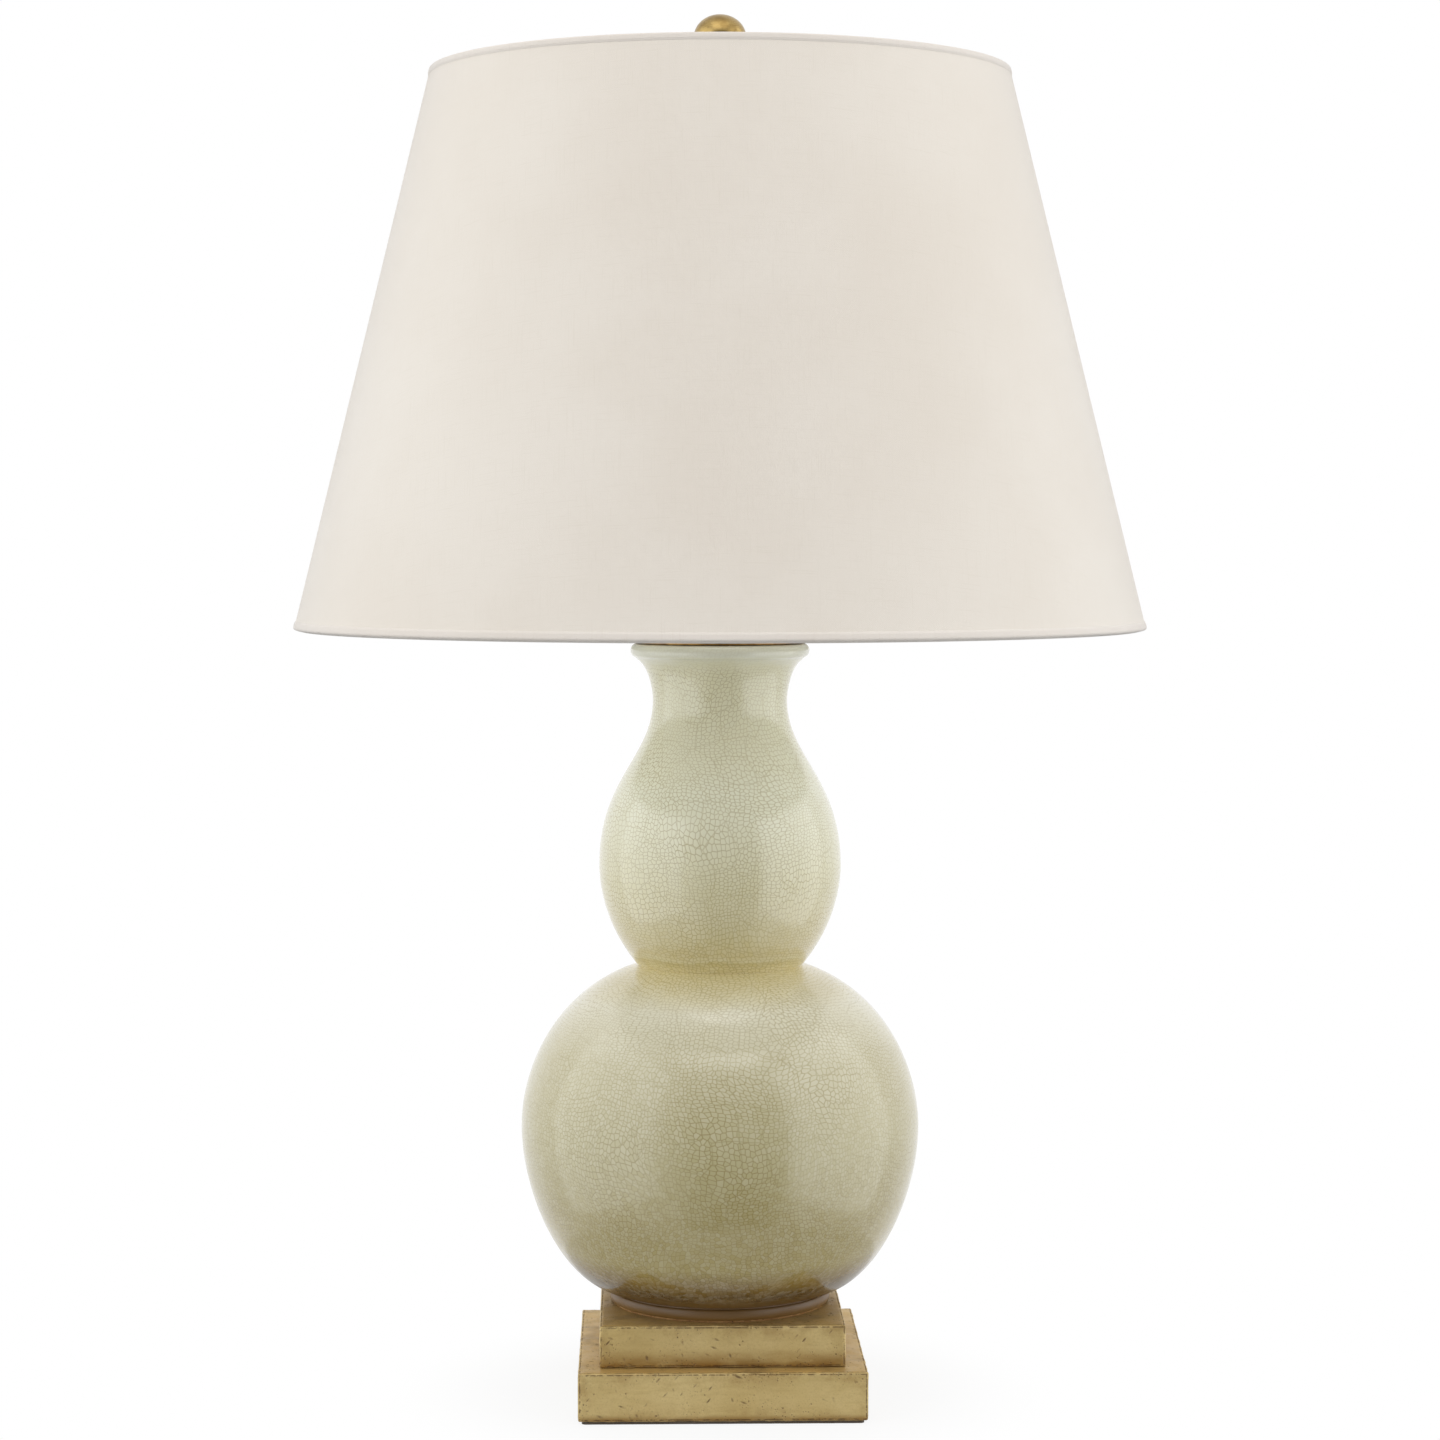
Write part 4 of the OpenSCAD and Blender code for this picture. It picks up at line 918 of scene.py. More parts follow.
# %% [markdown]
# The linen is a plain weave of about two threads to the millimetre, with a thicker slub here and there. A
# picture of cloth could be wrapped round, but two crossed waves weave it at any size. The UV map holds real
# metres, so a thread is as wide on the map as on the shade, and the weave turns towards the sides just as it
# does on a cloth that was cut flat and rolled up.

# %% Linen and styrene
THREAD = 0.00052


def woven(name, pale, deep, slub_colour):
    paint = Recipe(name)
    flat = paint.add("UVMap", uv_map="flat").outputs[0]
    loose = paint.wobbled(flat, 260.0, 2.0, (0.0004, 0.0004, 0.0004))
    axes = paint.add("SeparateXYZ", {0: loose}).outputs
    warp = paint.maths("SINE", paint.times(axes[0], math.pi / THREAD))
    weft = paint.maths("SINE", paint.times(axes[1], math.pi / THREAD))
    over = paint.maths("GREATER_THAN", paint.times(warp, weft), 0.0)
    warp_high = paint.times(paint.maths("ABSOLUTE", warp), over)
    weft_high = paint.times(paint.maths("ABSOLUTE", weft), paint.minus(1.0, over))
    threads = paint.plus(warp_high, weft_high)

    slubs = []
    for stretch in ((1500, 45, 1), (45, 1500, 1)):
        along = paint.add("Mapping", {"Vector": loose, "Scale": stretch}).outputs[0]
        slubs.append(paint.between(paint.noise(1.0, along, 3, 0.6), 0.54, 0.72))
    slub = paint.larger(slubs[0], slubs[1])
    cloud = paint.between(paint.noise(9, paint.place(), 3), 0.3, 0.7)
    cloth = paint.blend(cloud, pale, deep)
    cloth = paint.blend(paint.times(slub, 0.2), cloth, slub_colour)
    # The gaps between the threads are painted darker: painted shade.
    gap_shade = paint.between(threads, 0.0, 0.5, 0.25, 0.0)
    cloth = paint.blend(gap_shade, cloth, paint.blend(1.0, cloth, rgb(206, 190, 166), "MULTIPLY"))
    relief = paint.bump(threads, 0.4, 0.12 * MM)
    relief = paint.bump(slub, 0.12, 0.12 * MM, relief)
    return paint.finish(
        Base_Color=cloth, Roughness=0.85, Normal=relief, Sheen_Weight=0.6, Sheen_Roughness=0.4,
        Specular_IOR_Level=0.2,
    )


linen_cloth = woven("linen_cloth", rgb(237, 229, 218), rgb(233, 224, 212), rgb(218, 208, 192))
linen_strip = woven("linen_strip", rgb(233, 225, 216), rgb(229, 220, 210), rgb(212, 201, 186))

paint = Recipe("styrene_sheet")
where = paint.place()
cloudy = paint.between(paint.noise(12, where, 3), 0.3, 0.7)
cloudy = paint.blend(cloudy, rgb(240, 238, 231), rgb(233, 230, 221))
fine = paint.noise(700, where, 3, 0.6)
styrene = paint.finish(
    Base_Color=cloudy, Roughness=paint.between(fine, 0.3, 0.7, 0.42, 0.52),
    Normal=paint.bump(fine, 0.1, 0.05 * MM), Subsurface_Weight=0.1, Specular_IOR_Level=0.4,
)

settle(linen, "shade", "linen", linen_cloth, "shade_fabric")
settle(liner, "shade", "white_styrene", styrene, "shade_liner")
settle(upper_edge, "shade", "linen_trim", linen_strip, "shade_top_trim")
settle(lower_edge, "shade", "linen_trim", linen_strip, "shade_bottom_trim")
settle(lap, "shade", "linen", linen_cloth)


# %% [markdown]
# Two wire rings hold the cone in shape. The lower one is plain. The upper one carries three arms that drop
# inside the wall and run in to a washer, which sits on the harp. An arm is a small circle, pulled out and
# bent the way a wire is bent over a peg: extrude for the straight parts, spin for the bends.

# %% Rings and fitter
WIRE_SIDES = 14


def start_wire(name, radius, place, direction=(0, 0, 1)):
    """A circle that faces a direction, ready to be pulled into a wire, left open in edit mode."""
    bpy.ops.object.select_all(action="DESELECT")
    bpy.ops.mesh.primitive_circle_add(vertices=WIRE_SIDES, radius=radius * MM, fill_type="NGON")
    obj = bpy.context.object
    obj.name = name
    obj.rotation_euler = Vector(direction).to_track_quat("Z", "X").to_euler()
    obj.location = Vector(place) * MM
    bpy.ops.object.transform_apply(location=True, rotation=True)
    open_mesh(obj)
    bpy.ops.mesh.select_mode(type="FACE")
    bpy.ops.mesh.select_all(action="SELECT")
    return obj


def pull_wire(step):
    bpy.ops.mesh.extrude_region_move(TRANSFORM_OT_translate={"value": Vector(step) * MM})


def bend_wire(degrees, centre, steps=8):
    # The spin runs clockwise about its axis, so the angle changes sign to turn the usual way.
    angle = -math.radians(degrees)
    bpy.ops.mesh.spin(steps=steps, angle=angle, center=Vector(centre) * MM, axis=(0, 1, 0))


def ring_on_wall(name, radius, along, inward):
    centre = on_wall(along, inward)
    circle = arc(centre, radius, radius, 0, 360, WIRE_SIDES)
    return turned(name, circle, 128)


lower_ring = ring_on_wall("lower_ring", 1.5, SHADE_EDGE + 1.5, 3.5)
upper_ring_along = wall_len - 2.2 / math.cos(lean)
fitter = ring_on_wall("fitter", 1.3, upper_ring_along, 3.3)

ARM_BEND_R = 4
ARM_END_R = 9.5
seat_z = low("harp_stud").z + 7.3
bend_centre_z = seat_z + 1 + ARM_BEND_R
drop_z = bend_centre_z + ARM_BEND_R * math.sin(lean)
ring_x, ring_z = on_wall(upper_ring_along, 3.3)
drop_x = ring_x + (ring_z - drop_z) * math.tan(lean)
arm = start_wire("arm", 1.1, (ring_x, 0, ring_z), (math.sin(lean), 0, -math.cos(lean)))
pull_wire((drop_x - ring_x, 0, drop_z - ring_z))
bend_x = drop_x - ARM_BEND_R * math.cos(lean)
bend_wire(90 + math.degrees(lean), (bend_x, 0, bend_centre_z))
pull_wire((ARM_END_R - bend_x, 0, 0))
seal_mesh()

bpy.ops.object.select_all(action="DESELECT")
weld_at = Vector((ring_x, 0, ring_z)) * MM
bpy.ops.mesh.primitive_ico_sphere_add(subdivisions=3, radius=1.75 * MM, location=weld_at)
weld = bpy.context.object
weld.scale = (0.85, 1.35, 0.9)
bpy.ops.object.transform_apply(location=True, rotation=True, scale=True)


def join(first, *others):
    only(first)
    for other in others:
        other.select_set(True)
    bpy.ops.object.join()


def twin_of(obj, name, degrees):
    """A copy with its own mesh, turned round the lamp's axis."""
    twin = bpy.data.objects.new(name, obj.data.copy())
    scene.collection.objects.link(twin)
    only(twin)
    twin.rotation_euler = (0, 0, math.radians(degrees))
    bpy.ops.object.transform_apply(rotation=True)
    return twin


join(arm, weld)
arms = [twin_of(arm, "arm_" + str(degrees), degrees) for degrees in (90, 210, 330)]
bpy.data.objects.remove(arm)
washer = turned("washer", softened([
    (3.5, seat_z, 0), (12.5, seat_z, 0.4), (12.5, seat_z + 2, 0.4), (3.5, seat_z + 2, 0.3), (3.5, seat_z, 0),
]), 64)
join(fitter, washer, *arms)


# %% [markdown]
# ## Brass and steel
# Most of the metal inside the lamp comes off a lathe, so its finish is a set of very fine rings. An
# anisotropic shader could smear the light the same way; noise that is read by radius and height alone also
# shows close up. A thin tarnish and a few dull patches keep it from looking new.

# %% Metals
def metal(name, clean, tarnish, gloss, share):
    paint = Recipe(name)
    where = paint.place()
    section = paint.add("CombineXYZ", {"X": paint.radius(), "Z": paint.height()}).outputs[0]
    lathe = paint.noise(2600, section, 2, 0.6)
    patina = paint.between(paint.noise(75, where, 5, 0.65), 0.5 - 0.3 * share, 0.85 - 0.3 * share)
    colour = paint.blend(patina, clean, tarnish)
    dirt = paint.between(paint.noise(210, where, 4, 0.7), 0.56, 0.74, 0.0, 0.4)
    colour = paint.blend(dirt, colour, paint.blend(1.0, colour, rgb(120, 104, 84), "MULTIPLY"))
    shine = paint.between(lathe, 0.3, 0.7, gloss - 0.05, gloss + 0.06)
    shine = paint.plus(shine, paint.times(patina, 0.12))
    skin = paint.bump(lathe, 0.15, 0.05 * MM)
    skin = paint.bump(paint.noise(300, where, 3), 0.06, 0.1 * MM, skin)
    return paint.finish(Base_Color=colour, Roughness=shine, Metallic=1.0, Normal=skin)


satin_brass = metal("satin_brass", rgb(172, 146, 92), rgb(136, 110, 62), 0.26, 0.4)
antique_brass = metal("antique_brass", rgb(186, 150, 92), rgb(122, 90, 50), 0.34, 0.7)
polished_brass = metal("polished_brass", rgb(214, 180, 112), rgb(188, 150, 88), 0.2, 0.35)
zinc_steel = metal("zinc_steel", rgb(186, 186, 182), rgb(150, 149, 143), 0.32, 0.5)
bright_cap = metal("bulb_metal", rgb(205, 205, 200), rgb(178, 176, 170), 0.24, 0.3)
solder = metal("solder", rgb(168, 168, 166), rgb(136, 136, 134), 0.42, 0.6)

paint = Recipe("white_wire")
where = paint.place()
pebble = paint.noise(900, where, 3)
coat = paint.between(paint.noise(60, where, 4), 0.35, 0.7)
coat = paint.blend(coat, rgb(236, 234, 227), rgb(224, 221, 211))
white_wire = paint.finish(
    Base_Color=coat, Roughness=paint.between(pebble, 0.3, 0.7, 0.32, 0.42),
    Normal=paint.bump(pebble, 0.2, 0.06 * MM), Coat_Weight=0.3,
)
settle(lower_ring, "shade", "white_wire", white_wire, "shade_bottom_ring")
settle(fitter, "shade", "white_wire", white_wire, "shade_fitter")


# %% [markdown]
# A thread is a groove that climbs as it goes round. Instead of drawing one, a plain turned rod is taken and
# each of its points pressed inward by how far round and how high up it lies.

# %% Helper for threads
FINE_PITCH = 0.94
BULB_PITCH = 3.63


def cut_thread(obj, pitch, depth, bottom, top, bore=0.0, sharp=1.0):
    """Presses a helical groove into the outside of a turned piece, between two heights in millimetres."""
    for vertex in obj.data.vertices:
        x, y, z = vertex.co / MM
        radius = math.hypot(x, y)
        if radius <= bore or not bottom - 1e-6 <= z <= top + 1e-6:
            continue
        wave = 0.5 + 0.5 * math.cos(2 * math.pi * z / pitch - math.atan2(y, x))
        fade = min(1, (z - bottom) / pitch, (top - z) / pitch)
        shrink = 1 - depth * max(0, fade) * (1 - wave**sharp) / radius
        vertex.co.x *= shrink
        vertex.co.y *= shrink


def steps_between(radius, start, stop, step):
    """Points up a straight side, close enough together to take a thread."""
    count = max(1, round(abs(stop - start) / step))
    return [(radius, start + (stop - start) * i / count) for i in range(count + 1)]


# %% [markdown]
# ## Vase cap, check ring and neck
# Above the gourd's mouth sit a spun brass cap with a rolled rim, a check ring and a turned neck. The cap
# could be a thickened surface, but a closed section gives the sheet its thickness and the rim its bead at
# once.

# %% Turn the brass column
BORE_R = 4.95
cap_z = low("vase_cap").z
cap_rim = [
    (42.4, 0, 0), (46, 0, 1.4), (46, 2.2, 0.3), (45.7, 2.5, 0.2),
    (46, 2.8, 0.3), (46, 5, 1.2), (42.6, 5.1, 0.5),
]
cap_dome = curve((41.4, 5.8), (27.5, 5.8), (27, 12.2), (14.6, 12.2), 28)
cap_seat = [(13.8, 12.5, 0.3), (13.4, 13, 0.2), (BORE_R, 13, 0), (BORE_R, 11, 0), (14.6, 11, 0)]
cap_inside = [(x, z - 1.2) for x, z in reversed(cap_dome)]
cap_outline = softened(cap_rim) + [(42.2, 5.6)] + cap_dome + softened(cap_seat) + cap_inside
cap_outline += [(41.4, 0.7), (42.4, 0)]
vase_cap = turned("vase_cap_brass", lifted(cap_outline, cap_z), 160)
settle(vase_cap, "base", "antique_brass", antique_brass, "vase_cap")

check_z = low("check_ring").z
check_outline = [(BORE_R, 0)] + arc((10.5, 1.5), 1.5, 1.5, -90, 90, 16) + [(BORE_R, 3), (BORE_R, 0)]
check = turned("check_ring_brass", lifted(check_outline, check_z), 96)
settle(check, "base", "antique_brass", antique_brass, "check_ring")

neck_z = low("brass_neck").z
neck_foot = softened([(BORE_R, 0, 0), (10, 0, 0.5), (10, 2.4, 0.5), (9.1, 2.4, 0)])
neck_side = curve((9, 2.5), (7, 3.6), (7, 7.6), (7, 10.1), 14)
neck_side += curve((7, 10.1), (7, 12.6), (7, 16.6), (8.5, 17.8), 14)[1:]
neck_head = softened([
    (8.9, 17.8, 0.1), (9.5, 18.3, 0.3), (9.5, 19.7, 0.3), (9, 20.2, 0.2), (BORE_R, 20.2, 0),
])
neck_tube = turned("neck_brass", lifted(neck_foot + neck_side + neck_head + [(BORE_R, 0)], neck_z), 96)
settle(neck_tube, "base", "antique_brass", antique_brass, "brass_neck")


# %% [markdown]
# ## Harp and saddle
# The saddle is a bent brass strip with a post at each end. It could be extruded and bent step by step, but
# it is truer to draw its side view and push it through, draw its plan and push it up, and keep what the two
# have in common.

# %% Helper for a cut-out plate
def plate(name, outline, lowest, highest, along="Z"):
    """Fills an outline and pushes it through from one height to the other, in millimetres."""
    if along == "Z":
        points = [Vector((x, y, lowest)) * MM for x, y in outline]
        push = Vector((0, 0, highest - lowest)) * MM
    else:
        points = [Vector((x, lowest, z)) * MM for x, z in outline]
        push = Vector((0, highest - lowest, 0)) * MM
    obj = draw_line(name, points)
    bpy.ops.mesh.edge_face_add()
    bpy.ops.mesh.extrude_region_move(TRANSFORM_OT_translate={"value": push})
    bpy.ops.mesh.select_all(action="SELECT")
    bpy.ops.mesh.normals_make_consistent(inside=False)
    close_mesh()
    return obj


# %% Bend the saddle
saddle_z = low("harp_saddle").z
POST_X = 30.2
side_right = softened([
    (0, 0, 0), (18, 0, 2.5), (26.2, 12, 2.5), (35.2, 12, 0), (35.2, 14, 0),
    (25.1, 14, 1.2), (16.9, 2, 1.2), (0, 2, 0),
], 6)
side_left = [(-x, z) for x, z in reversed(side_right)][1:-1]
saddle = plate("saddle", lifted(side_right + side_left, saddle_z), -10, 10, "Y")
PAD_R = 5.5
pad = arc((35.2 - PAD_R, 0), PAD_R, PAD_R, -90, 90, 20)
boss = [point for point in arc((0, 0), 10, 10, 0, 180, 48) if point[1] > PAD_R + 0.1]
half_plan = pad + boss
plan = half_plan + [(-x, -y) for x, y in half_plan]
shape = plate("plan", plan, saddle_z - 1, saddle_z + 20)
carve(saddle, shape, "INTERSECT")
drill(saddle, (0, 0, saddle_z - 1), (0, 0, 1), BORE_R, 4)
POST_WIDE, POST_DEEP, POST_TALL = 1.9, 4.4, 12
for side in (-1, 1):
    middle_x = side * (POST_X - 0.3 - POST_WIDE / 2)
    corner = Vector((middle_x - POST_WIDE / 2, -POST_DEEP / 2, saddle_z + 13))
    post = block("post", corner, corner + Vector((POST_WIDE, POST_DEEP, POST_TALL)), 0.4, 2)
    carve(saddle, post, "UNION")
modify(saddle, "BEVEL", width=0.25 * MM, segments=2, limit_method="ANGLE", angle_limit=math.radians(50))
settle(saddle, "base", "polished_brass", polished_brass, "harp_saddle")


# %% [markdown]
# The harp is one length of brass wire. A curve with a round bevel could stand for it, but a wire that is
# pulled and bent keeps straight sides straight. Half of it is bent here, from the foot of a leg to the
# middle of the top, and a Mirror modifier makes the other half. The eye is turned, joined on and drilled.

# %% Bend the harp
LEG_X, HARP_HALF, SHOULDER_R, LEG_BEND_R, HARP_LEAN = 31.8, 55.0, 42.0, 60.0, 9.0
tilt = math.radians(HARP_LEAN)
ledge_z = low("harp_wire").z
eye_z = seat_z - 4.3
shoulder_x = HARP_HALF - SHOULDER_R
side_end = (shoulder_x + SHOULDER_R * math.cos(tilt), eye_z - SHOULDER_R - SHOULDER_R * math.sin(tilt))
side_long = (side_end[0] - LEG_X - LEG_BEND_R * (1 - math.cos(tilt))) / math.sin(tilt)
leg_top = side_end[1] - side_long * math.cos(tilt) - LEG_BEND_R * math.sin(tilt)

harp = start_wire("harp", 1.6, (LEG_X, 0, ledge_z))
pull_wire((0, 0, leg_top - ledge_z))
bend_wire(HARP_LEAN, (LEG_X + LEG_BEND_R, 0, leg_top), 6)
pull_wire((side_long * math.sin(tilt), 0, side_long * math.cos(tilt)))
bend_wire(-90 - HARP_LEAN, (shoulder_x, 0, eye_z - SHOULDER_R), 28)
pull_wire((-shoulder_x, 0, 0))
bpy.ops.mesh.delete(type="ONLY_FACE")
seal_mesh()
modify(harp, "MIRROR", use_axis=(True, False, False), merge_threshold=MM / 100)
eye_outline = softened([(0, -1.7, 0), (7.5, -1.7, 0.6), (7.5, 1.7, 0.6), (0, 1.7, 0)])
eye = turned("eye", lifted(eye_outline, eye_z), 64)
carve(harp, eye, "UNION")
drill(harp, (0, 0, eye_z - 3), (0, 0, 1), 2.56, 6)
settle(harp, "harp", "polished_brass", polished_brass, "harp_wire", angle=40)

for side, word in ((-1, "left"), (1, "right")):
    sleeve_outline = softened([
        (3.4, 0, 0), (4.2, 0, 0.3), (4.2, 1.6, 0.2), (4.05, 1.9, 0.2), (4.2, 2.2, 0.2), (4.2, 15.8, 0.2),
        (4.05, 16.1, 0.2), (4.2, 16.4, 0.2), (4.2, 18, 0.3), (3.4, 18, 0.1), (3.4, 0, 0),
    ], 3)
    sleeve = turned("sleeve_" + word + "_brass", lifted(sleeve_outline, ledge_z), 48, (side * POST_X, 0, 0))
    settle(sleeve, "sleeve_" + word, "polished_brass", polished_brass, "harp_sleeve_" + word)

# %% Turn the stud
STUD_R = 3.175
flange_z = seat_z - 2.5
rivet_low, rivet_high = flange_z - 4.8, flange_z - 3.6
stud_outline = softened([(0, rivet_low, 0), (4, rivet_low, 0.9), (4, rivet_high, 0.3), (2.5, rivet_high, 0)])
stud_outline += softened([(2.5, flange_z, 0), (8.5, flange_z, 0.5), (8.5, seat_z, 0.5), (STUD_R, seat_z, 0)])
stud_outline += steps_between(STUD_R, seat_z + 0.1, seat_z + 13.4, 0.12)
stud_outline += [(2.6, seat_z + 14), (0, seat_z + 14)]
stud = turned("stud", stud_outline, 48)
cut_thread(stud, FINE_PITCH, 0.5, seat_z + 0.1, seat_z + 13.4, 2.7, 1.2)
settle(stud, "stud", "polished_brass", polished_brass, "harp_stud", angle=60)


# %% [markdown]
# ## The finial
# A ball, a little flattened, on a coved stem, with a tapped foot inside that takes the stud's thread. A
# scaled sphere would meet the stem in a hard line, so ball, bead and stem are turned from one outline.

# %% Turn the finial
BALL_R, BALL_HALF_TALL, BALL_AT = 14, 12, 29.8
BEAD_R, STEM_TOP = 1.4, 20.2
foot_low = low("finial_base").z
base_outline = softened([
    (3.23, 0, 0), (9, 0, 0.6), (9, 2, 0.5), (4.6, 2, 0), (4.6, 13, 0.3), (3.23, 13, 0.3), (3.23, 0, 0),
])
finial_foot = turned("finial_foot_brass", lifted(base_outline, foot_low), 96)
settle(finial_foot, "finial_foot", "satin_brass", satin_brass, "finial_base")

finial_outline = [(4.66, 2.0)] + softened([(7.4, 2.0, 0), (8, 2.3, 0.3), (8, 3, 0.2)])
finial_outline += curve((8, 3), (6.5, 3.5), (6.5, STEM_TOP - 6), (6.5, STEM_TOP - 2.6), 16)
finial_outline += arc((6.1, STEM_TOP - 1.2), BEAD_R, BEAD_R, -70, 80, 14)
join_angle = -math.degrees(math.acos(6.4 / BALL_R))
finial_outline += arc((0, BALL_AT), BALL_R, BALL_HALF_TALL, join_angle, 90, 64)
finial_outline += [(0, 15.0), (3.675, 15.0), (3.675, 13.1), (4.66, 13.1), (4.66, 2.0)]
finial = turned("finial_ball_brass", lifted(finial_outline, foot_low), 128)
settle(finial, "finial", "satin_brass", satin_brass, "finial_ball")


# %% [markdown]
# ## The socket
# A cap and a shell of thin brass snap together round the insulating body. A rolled bead stiffens each, and
# the shell has a window for the switch. Solidify could thicken a surface, but the beads and the rolled lip
# are clearer when both faces of the sheet are drawn.

# %% Spin the cap and the shell
socket_z = low("socket_cap").z
cap_bell = curve((8.7, 9), (12.8, 9), (17.15, 13.4), (17.15, 20), 22)
inner_bell = curve((16.6, 20), (16.6, 13.9), (12.5, 9.55), (8.3, 9.55), 18)
socket_outline = softened([(4.91, 0, 0), (8.5, 0, 0.5), (8.5, 9, 0.3), (8.6, 9, 0)]) + cap_bell
socket_outline += softened([
    (17.15, 20.6, 0), (16.85, 21.2, 0.3), (17.15, 21.8, 0.3), (17.15, 28, 0.2),
    (16.6, 28, 0.2), (16.6, 20.5, 0),
])
socket_outline += inner_bell + [(4.91, 9.55), (4.91, 0)]
socket_cap = turned("socket_cap_brass", lifted(socket_outline, socket_z), 96)
drill(socket_cap, (3, 0, socket_z + 4.5), (1, 0, 0), 1.66, 9, 32)
settle(socket_cap, "base", "polished_brass", polished_brass, "socket_cap")

shell_outline = softened([
    (15.95, 21, 0), (16.5, 21, 0.1), (16.5, 29.4, 0.2), (16.2, 30, 0.3), (16.5, 30.6, 0.2), (16.5, 55, 0.2),
    (16.15, 55.8, 0.4), (16.5, 56.6, 0.2), (16.5, 62, 1.1), (14.55, 62, 0.2), (14.55, 61.45, 0.1),
    (15.95, 61.45, 0.6), (15.95, 56.5, 0), (15.7, 55.8, 0.3), (15.95, 55.1, 0), (15.95, 30.6, 0),
    (15.7, 30, 0.3), (15.95, 29.4, 0), (15.95, 21, 0),
], 5)
shell = turned("socket_shell_brass", lifted(shell_outline, socket_z), 96)
drill(shell, (0, -10, socket_z + 33), (0, -1, 0), 3.9, 12)
settle(shell, "base", "polished_brass", polished_brass, "socket_shell")


# %% [markdown]
# The switch key is pressed from dark bakelite: a flat grip with ribs for the fingers, on a round collar. The
# ribs could be cut one by one, but a wave along the outline draws them all.

# %% Press the key
def stadium(wide, tall, ripple, ribs):
    """An outline with round ends whose flat sides are ribbed."""
    half = (wide - tall) / 2
    count = 12 * ribs
    line = []
    for i in range(count + 1):
        x = half - 2 * half * i / count
        line.append((x, tall / 2 - ripple * (0.5 - 0.5 * math.cos(2 * math.pi * i / 12))))
    line += arc((-half, 0), tall / 2, tall / 2, 90, 270, 16)[1:-1]
    line += [(-x, -z) for x, z in line[:count + 1]]
    return line + arc((half, 0), tall / 2, tall / 2, -90, 90, 16)[1:-1]


switch_z = socket_z + 33
key = plate("switch_key", lifted(stadium(12.8, 6.6, 0.45, 5), switch_z), -34, -22, "Y")
modify(key, "BEVEL", width=0.7 * MM, segments=3, limit_method="ANGLE", angle_limit=math.radians(60))
collar_outline = softened([(0, -23, 0), (4.1, -23, 0), (4.1, -19, 0.5), (0, -19, 0)])
collar = turned("collar", collar_outline, 48, (0, 0, switch_z), "Y")
carve(key, collar, "UNION")
drill(key, (0, -27.1, switch_z), (0, 1, 0), 2.46, 10, 32)

paint = Recipe("dark_bakelite")
where = paint.place()
mottle = paint.between(paint.noise(160, where, 4, 0.6), 0.35, 0.7)
haze = paint.noise(900, where, 3)
bakelite = paint.finish(
    Base_Color=paint.blend(mottle, rgb(38, 28, 22), rgb(56, 41, 31)), Coat_Weight=0.2,
    Roughness=paint.between(haze, 0.3, 0.7, 0.2, 0.34), Normal=paint.bump(haze, 0.05, 0.05 * MM),
)
settle(key, "switch", "black_bakelite", bakelite, "switch_knob", angle=40)

bushing_outline = softened([
    (3.5, 62.2, 0.3), (5, 62.2, 0.4), (5, 76.2, 0), (7.5, 76.2, 0.3), (7.5, 78.2, 1.1), (4.7, 78.2, 0.6),
    (3.5, 76.9, 0.6), (3.5, 62.2, 0),
])
bushing = turned("cord_bushing_bakelite", bushing_outline, 64, (0, 0, CORD_Z), "Y")
settle(bushing, "base", "black_bakelite", bakelite, "cord_bushing")


# %% [markdown]
# ## The bulb
# A soft white bulb: solder tip, black glass, rolled metal thread and a globe with white powder inside. Clear
# glass over a white inner wall could make the globe, but a pale body under a glossy coat looks the same from
# every side and renders without noise.

# %% Blow the globe and roll the thread
bulb_z = low("bulb_contact").z
tip_outline = [(0, 0)] + curve((0.1, 0), (2.2, 0), (3.4, 0.5), (4.5, 2), 12) + [(0, 2)]
tip = turned("bulb_solder", lifted(tip_outline, bulb_z), 40)
settle(tip, "bulb_tip", "solder", solder, "bulb_contact")

glass_outline = [(0, 2), (4.5, 2)] + curve((4.6, 2.05), (6.6, 2.6), (9.2, 4.2), (9.75, 5.6), 12)
glass_outline += [(9.75, 6.5), (0, 6.5)]
glass_foot = turned("bulb_black_glass", lifted(glass_outline, bulb_z), 48)
paint = Recipe("black_glass")
swirl = paint.noise(220, paint.place(), 3)
black_glass = paint.finish(
    Base_Color=paint.blend(paint.between(swirl, 0.3, 0.7), rgb(20, 18, 24), rgb(34, 30, 40)),
    Roughness=paint.between(swirl, 0.3, 0.7, 0.08, 0.16), Normal=paint.bump(swirl, 0.1, 0.1 * MM),
)
settle(glass_foot, "bulb_tip", "black_glass", black_glass, "bulb_insulator")

sleeve_side = steps_between(13.05, 8.7, 22, 0.28)
cap_wall = softened([(9.81, 5.7, 0), (10.55, 5.7, 0.3), (13.05, 8.6, 0.3)])
cap_wall += sleeve_side + [(13.05, 27), (12.65, 27)] + [(12.65, z) for x, z in reversed(sleeve_side)]
cap_wall += [(10.3, 6.1), (9.81, 6.1), (9.81, 5.7)]
thread = turned("bulb_thread", lifted(cap_wall, bulb_z), 72)
cut_thread(thread, BULB_PITCH, 0.85, bulb_z + 8.7, bulb_z + 21.5)
settle(thread, "bulb", "bulb_metal", bright_cap, "bulb_cap")

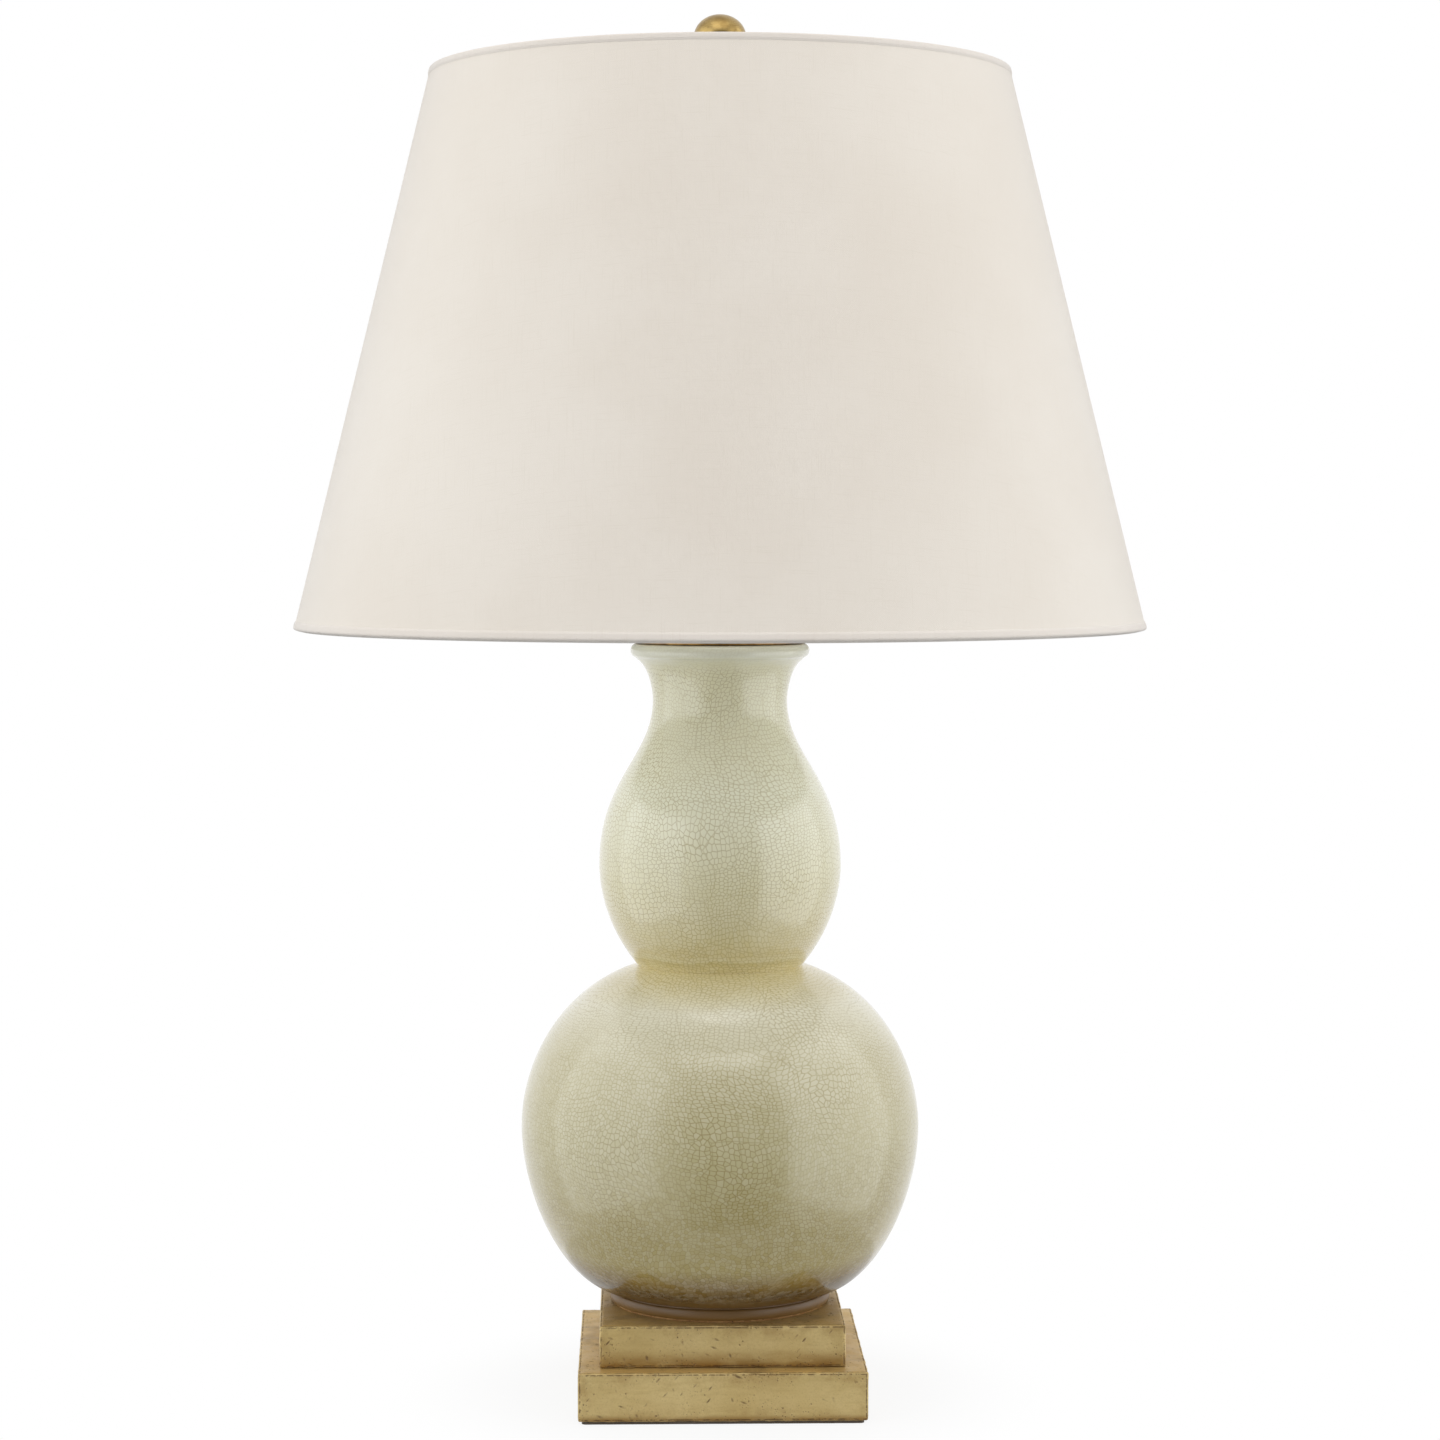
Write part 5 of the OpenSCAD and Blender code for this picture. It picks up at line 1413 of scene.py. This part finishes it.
GLOBE_R, GLOBE_AT, INNER_R = 30, 78, 29.2
THROAT_R, INNER_THROAT_R = 12.59, 11.79
globe_side = curve((THROAT_R, 27), (THROAT_R, 43), (GLOBE_R, 54), (GLOBE_R, GLOBE_AT), 36)
crown = arc((0, GLOBE_AT), GLOBE_R, GLOBE_R, 0, 90, 28)[1:]
inner_crown = arc((0, GLOBE_AT), INNER_R, INNER_R, 90, 0, 24)
inner_side = curve((INNER_R, GLOBE_AT), (INNER_R, 54.6), (INNER_THROAT_R, 42.6), (INNER_THROAT_R, 27), 30)
globe_outline = [(INNER_THROAT_R, 22), (THROAT_R, 22)] + globe_side + crown + inner_crown + inner_side[1:]
globe_outline.append((INNER_THROAT_R, 22))
globe = turned("bulb_globe_glass", lifted(globe_outline, bulb_z), 96)
paint = Recipe("powdered_glass")
where = paint.place()
powder = paint.noise(60, where, 4, 0.6)
grain = paint.noise(1500, where, 2)
frosted = paint.finish(
    Base_Color=paint.blend(paint.between(powder, 0.3, 0.7), rgb(246, 244, 238), rgb(238, 236, 228)),
    Roughness=paint.between(grain, 0.3, 0.7, 0.45, 0.55), Subsurface_Weight=0.25, Coat_Weight=0.8,
    Coat_Roughness=0.06, Normal=paint.bump(powder, 0.03, 0.3 * MM),
)
settle(globe, "bulb", "frosted_glass", frosted, "bulb_globe")


# %% [markdown]
# ## Pieces that keep their CAD shape
# Nuts, washers, screws and the inner parts of the socket are right as they were drawn, so they only get a
# better finish. The lamp pipe's thread is fine enough to be a bump that climbs as it turns.

# %% Finishes for the CAD nodes
paint = Recipe("threaded_pipe")
where = paint.place()
axes = paint.add("SeparateXYZ", {0: where}).outputs
round_it = paint.maths("ARCTAN2", axes[1], axes[0])
climb = paint.minus(paint.times(axes[2], 2 * math.pi / (FINE_PITCH * MM)), round_it)
groove = paint.maths("SINE", climb)
stains = paint.between(paint.noise(90, where, 4, 0.6), 0.4, 0.7)
# The thread's groove is painted darker than its crest.
groove_dark = paint.blend(paint.between(groove, -1.0, 0.2, 0.6, 0.0), rgb(176, 176, 172), rgb(92, 88, 82))
threaded_pipe = paint.finish(
    Base_Color=paint.blend(paint.times(stains, 0.4), groove_dark, rgb(120, 112, 100)), Metallic=1.0,
    Roughness=paint.between(stains, 0.0, 1.0, 0.3, 0.5), Normal=paint.bump(groove, 0.8, 0.3 * MM),
)

paint = Recipe("cork")
where = paint.place()
crumbs = paint.add("TexVoronoi", {"Vector": where, "Scale": 420.0}).outputs
tone = paint.add("SeparateColor", {"Color": crumbs["Color"]}).outputs[0]
pores = paint.between(paint.noise(500, where, 3), 0.62, 0.72)
cork_colour = paint.blend(tone, rgb(158, 116, 74), rgb(196, 156, 108))
cork = paint.finish(
    Base_Color=paint.blend(pores, cork_colour, rgb(84, 56, 34)), Roughness=0.9,
    Normal=paint.bump(crumbs["Distance"], 0.5, 0.2 * MM), Specular_IOR_Level=0.2,
)

paint = Recipe("fibre_paper")
fibre = paint.noise(600, paint.place((1, 1, 0.15)), 5, 0.7)
fibre_paper = paint.finish(
    Base_Color=paint.blend(paint.between(fibre, 0.3, 0.7), rgb(118, 92, 66), rgb(146, 118, 88)),
    Roughness=0.85, Normal=paint.bump(fibre, 0.4, 0.08 * MM), Specular_IOR_Level=0.2,
)

paint = Recipe("porcelain")
where = paint.place()
milky = paint.noise(45, where, 3)
specks = paint.between(paint.noise(700, where, 2), 0.7, 0.78)
glaze_colour = paint.blend(paint.between(milky, 0.3, 0.7), rgb(240, 238, 230), rgb(229, 226, 216))
porcelain = paint.finish(
    Base_Color=paint.blend(specks, glaze_colour, rgb(168, 158, 140)), Coat_Weight=0.6, Coat_Roughness=0.05,
    Roughness=paint.between(milky, 0.3, 0.7, 0.2, 0.3), Normal=paint.bump(milky, 0.05, 0.3 * MM),
)

CAD_FINISHES = {
    "plinth_screws": zinc_steel, "base_nut": zinc_steel, "base_lock_washer": zinc_steel,
    "base_washer": zinc_steel, "threaded_rod": threaded_pipe, "foot_gasket": cork,
    "saddle_nut": polished_brass, "socket_set_screw": polished_brass, "socket_liner": fibre_paper,
    "socket_body": porcelain, "screw_shell": polished_brass, "centre_contact": polished_brass,
    "terminal_screws": polished_brass, "switch_shaft": zinc_steel,
}
for node, finish in CAD_FINISHES.items():
    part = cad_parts[node]
    part.data.materials.clear()
    part.data.materials.append(finish)
print("CAD nodes with a new finish:", len(CAD_FINISHES))
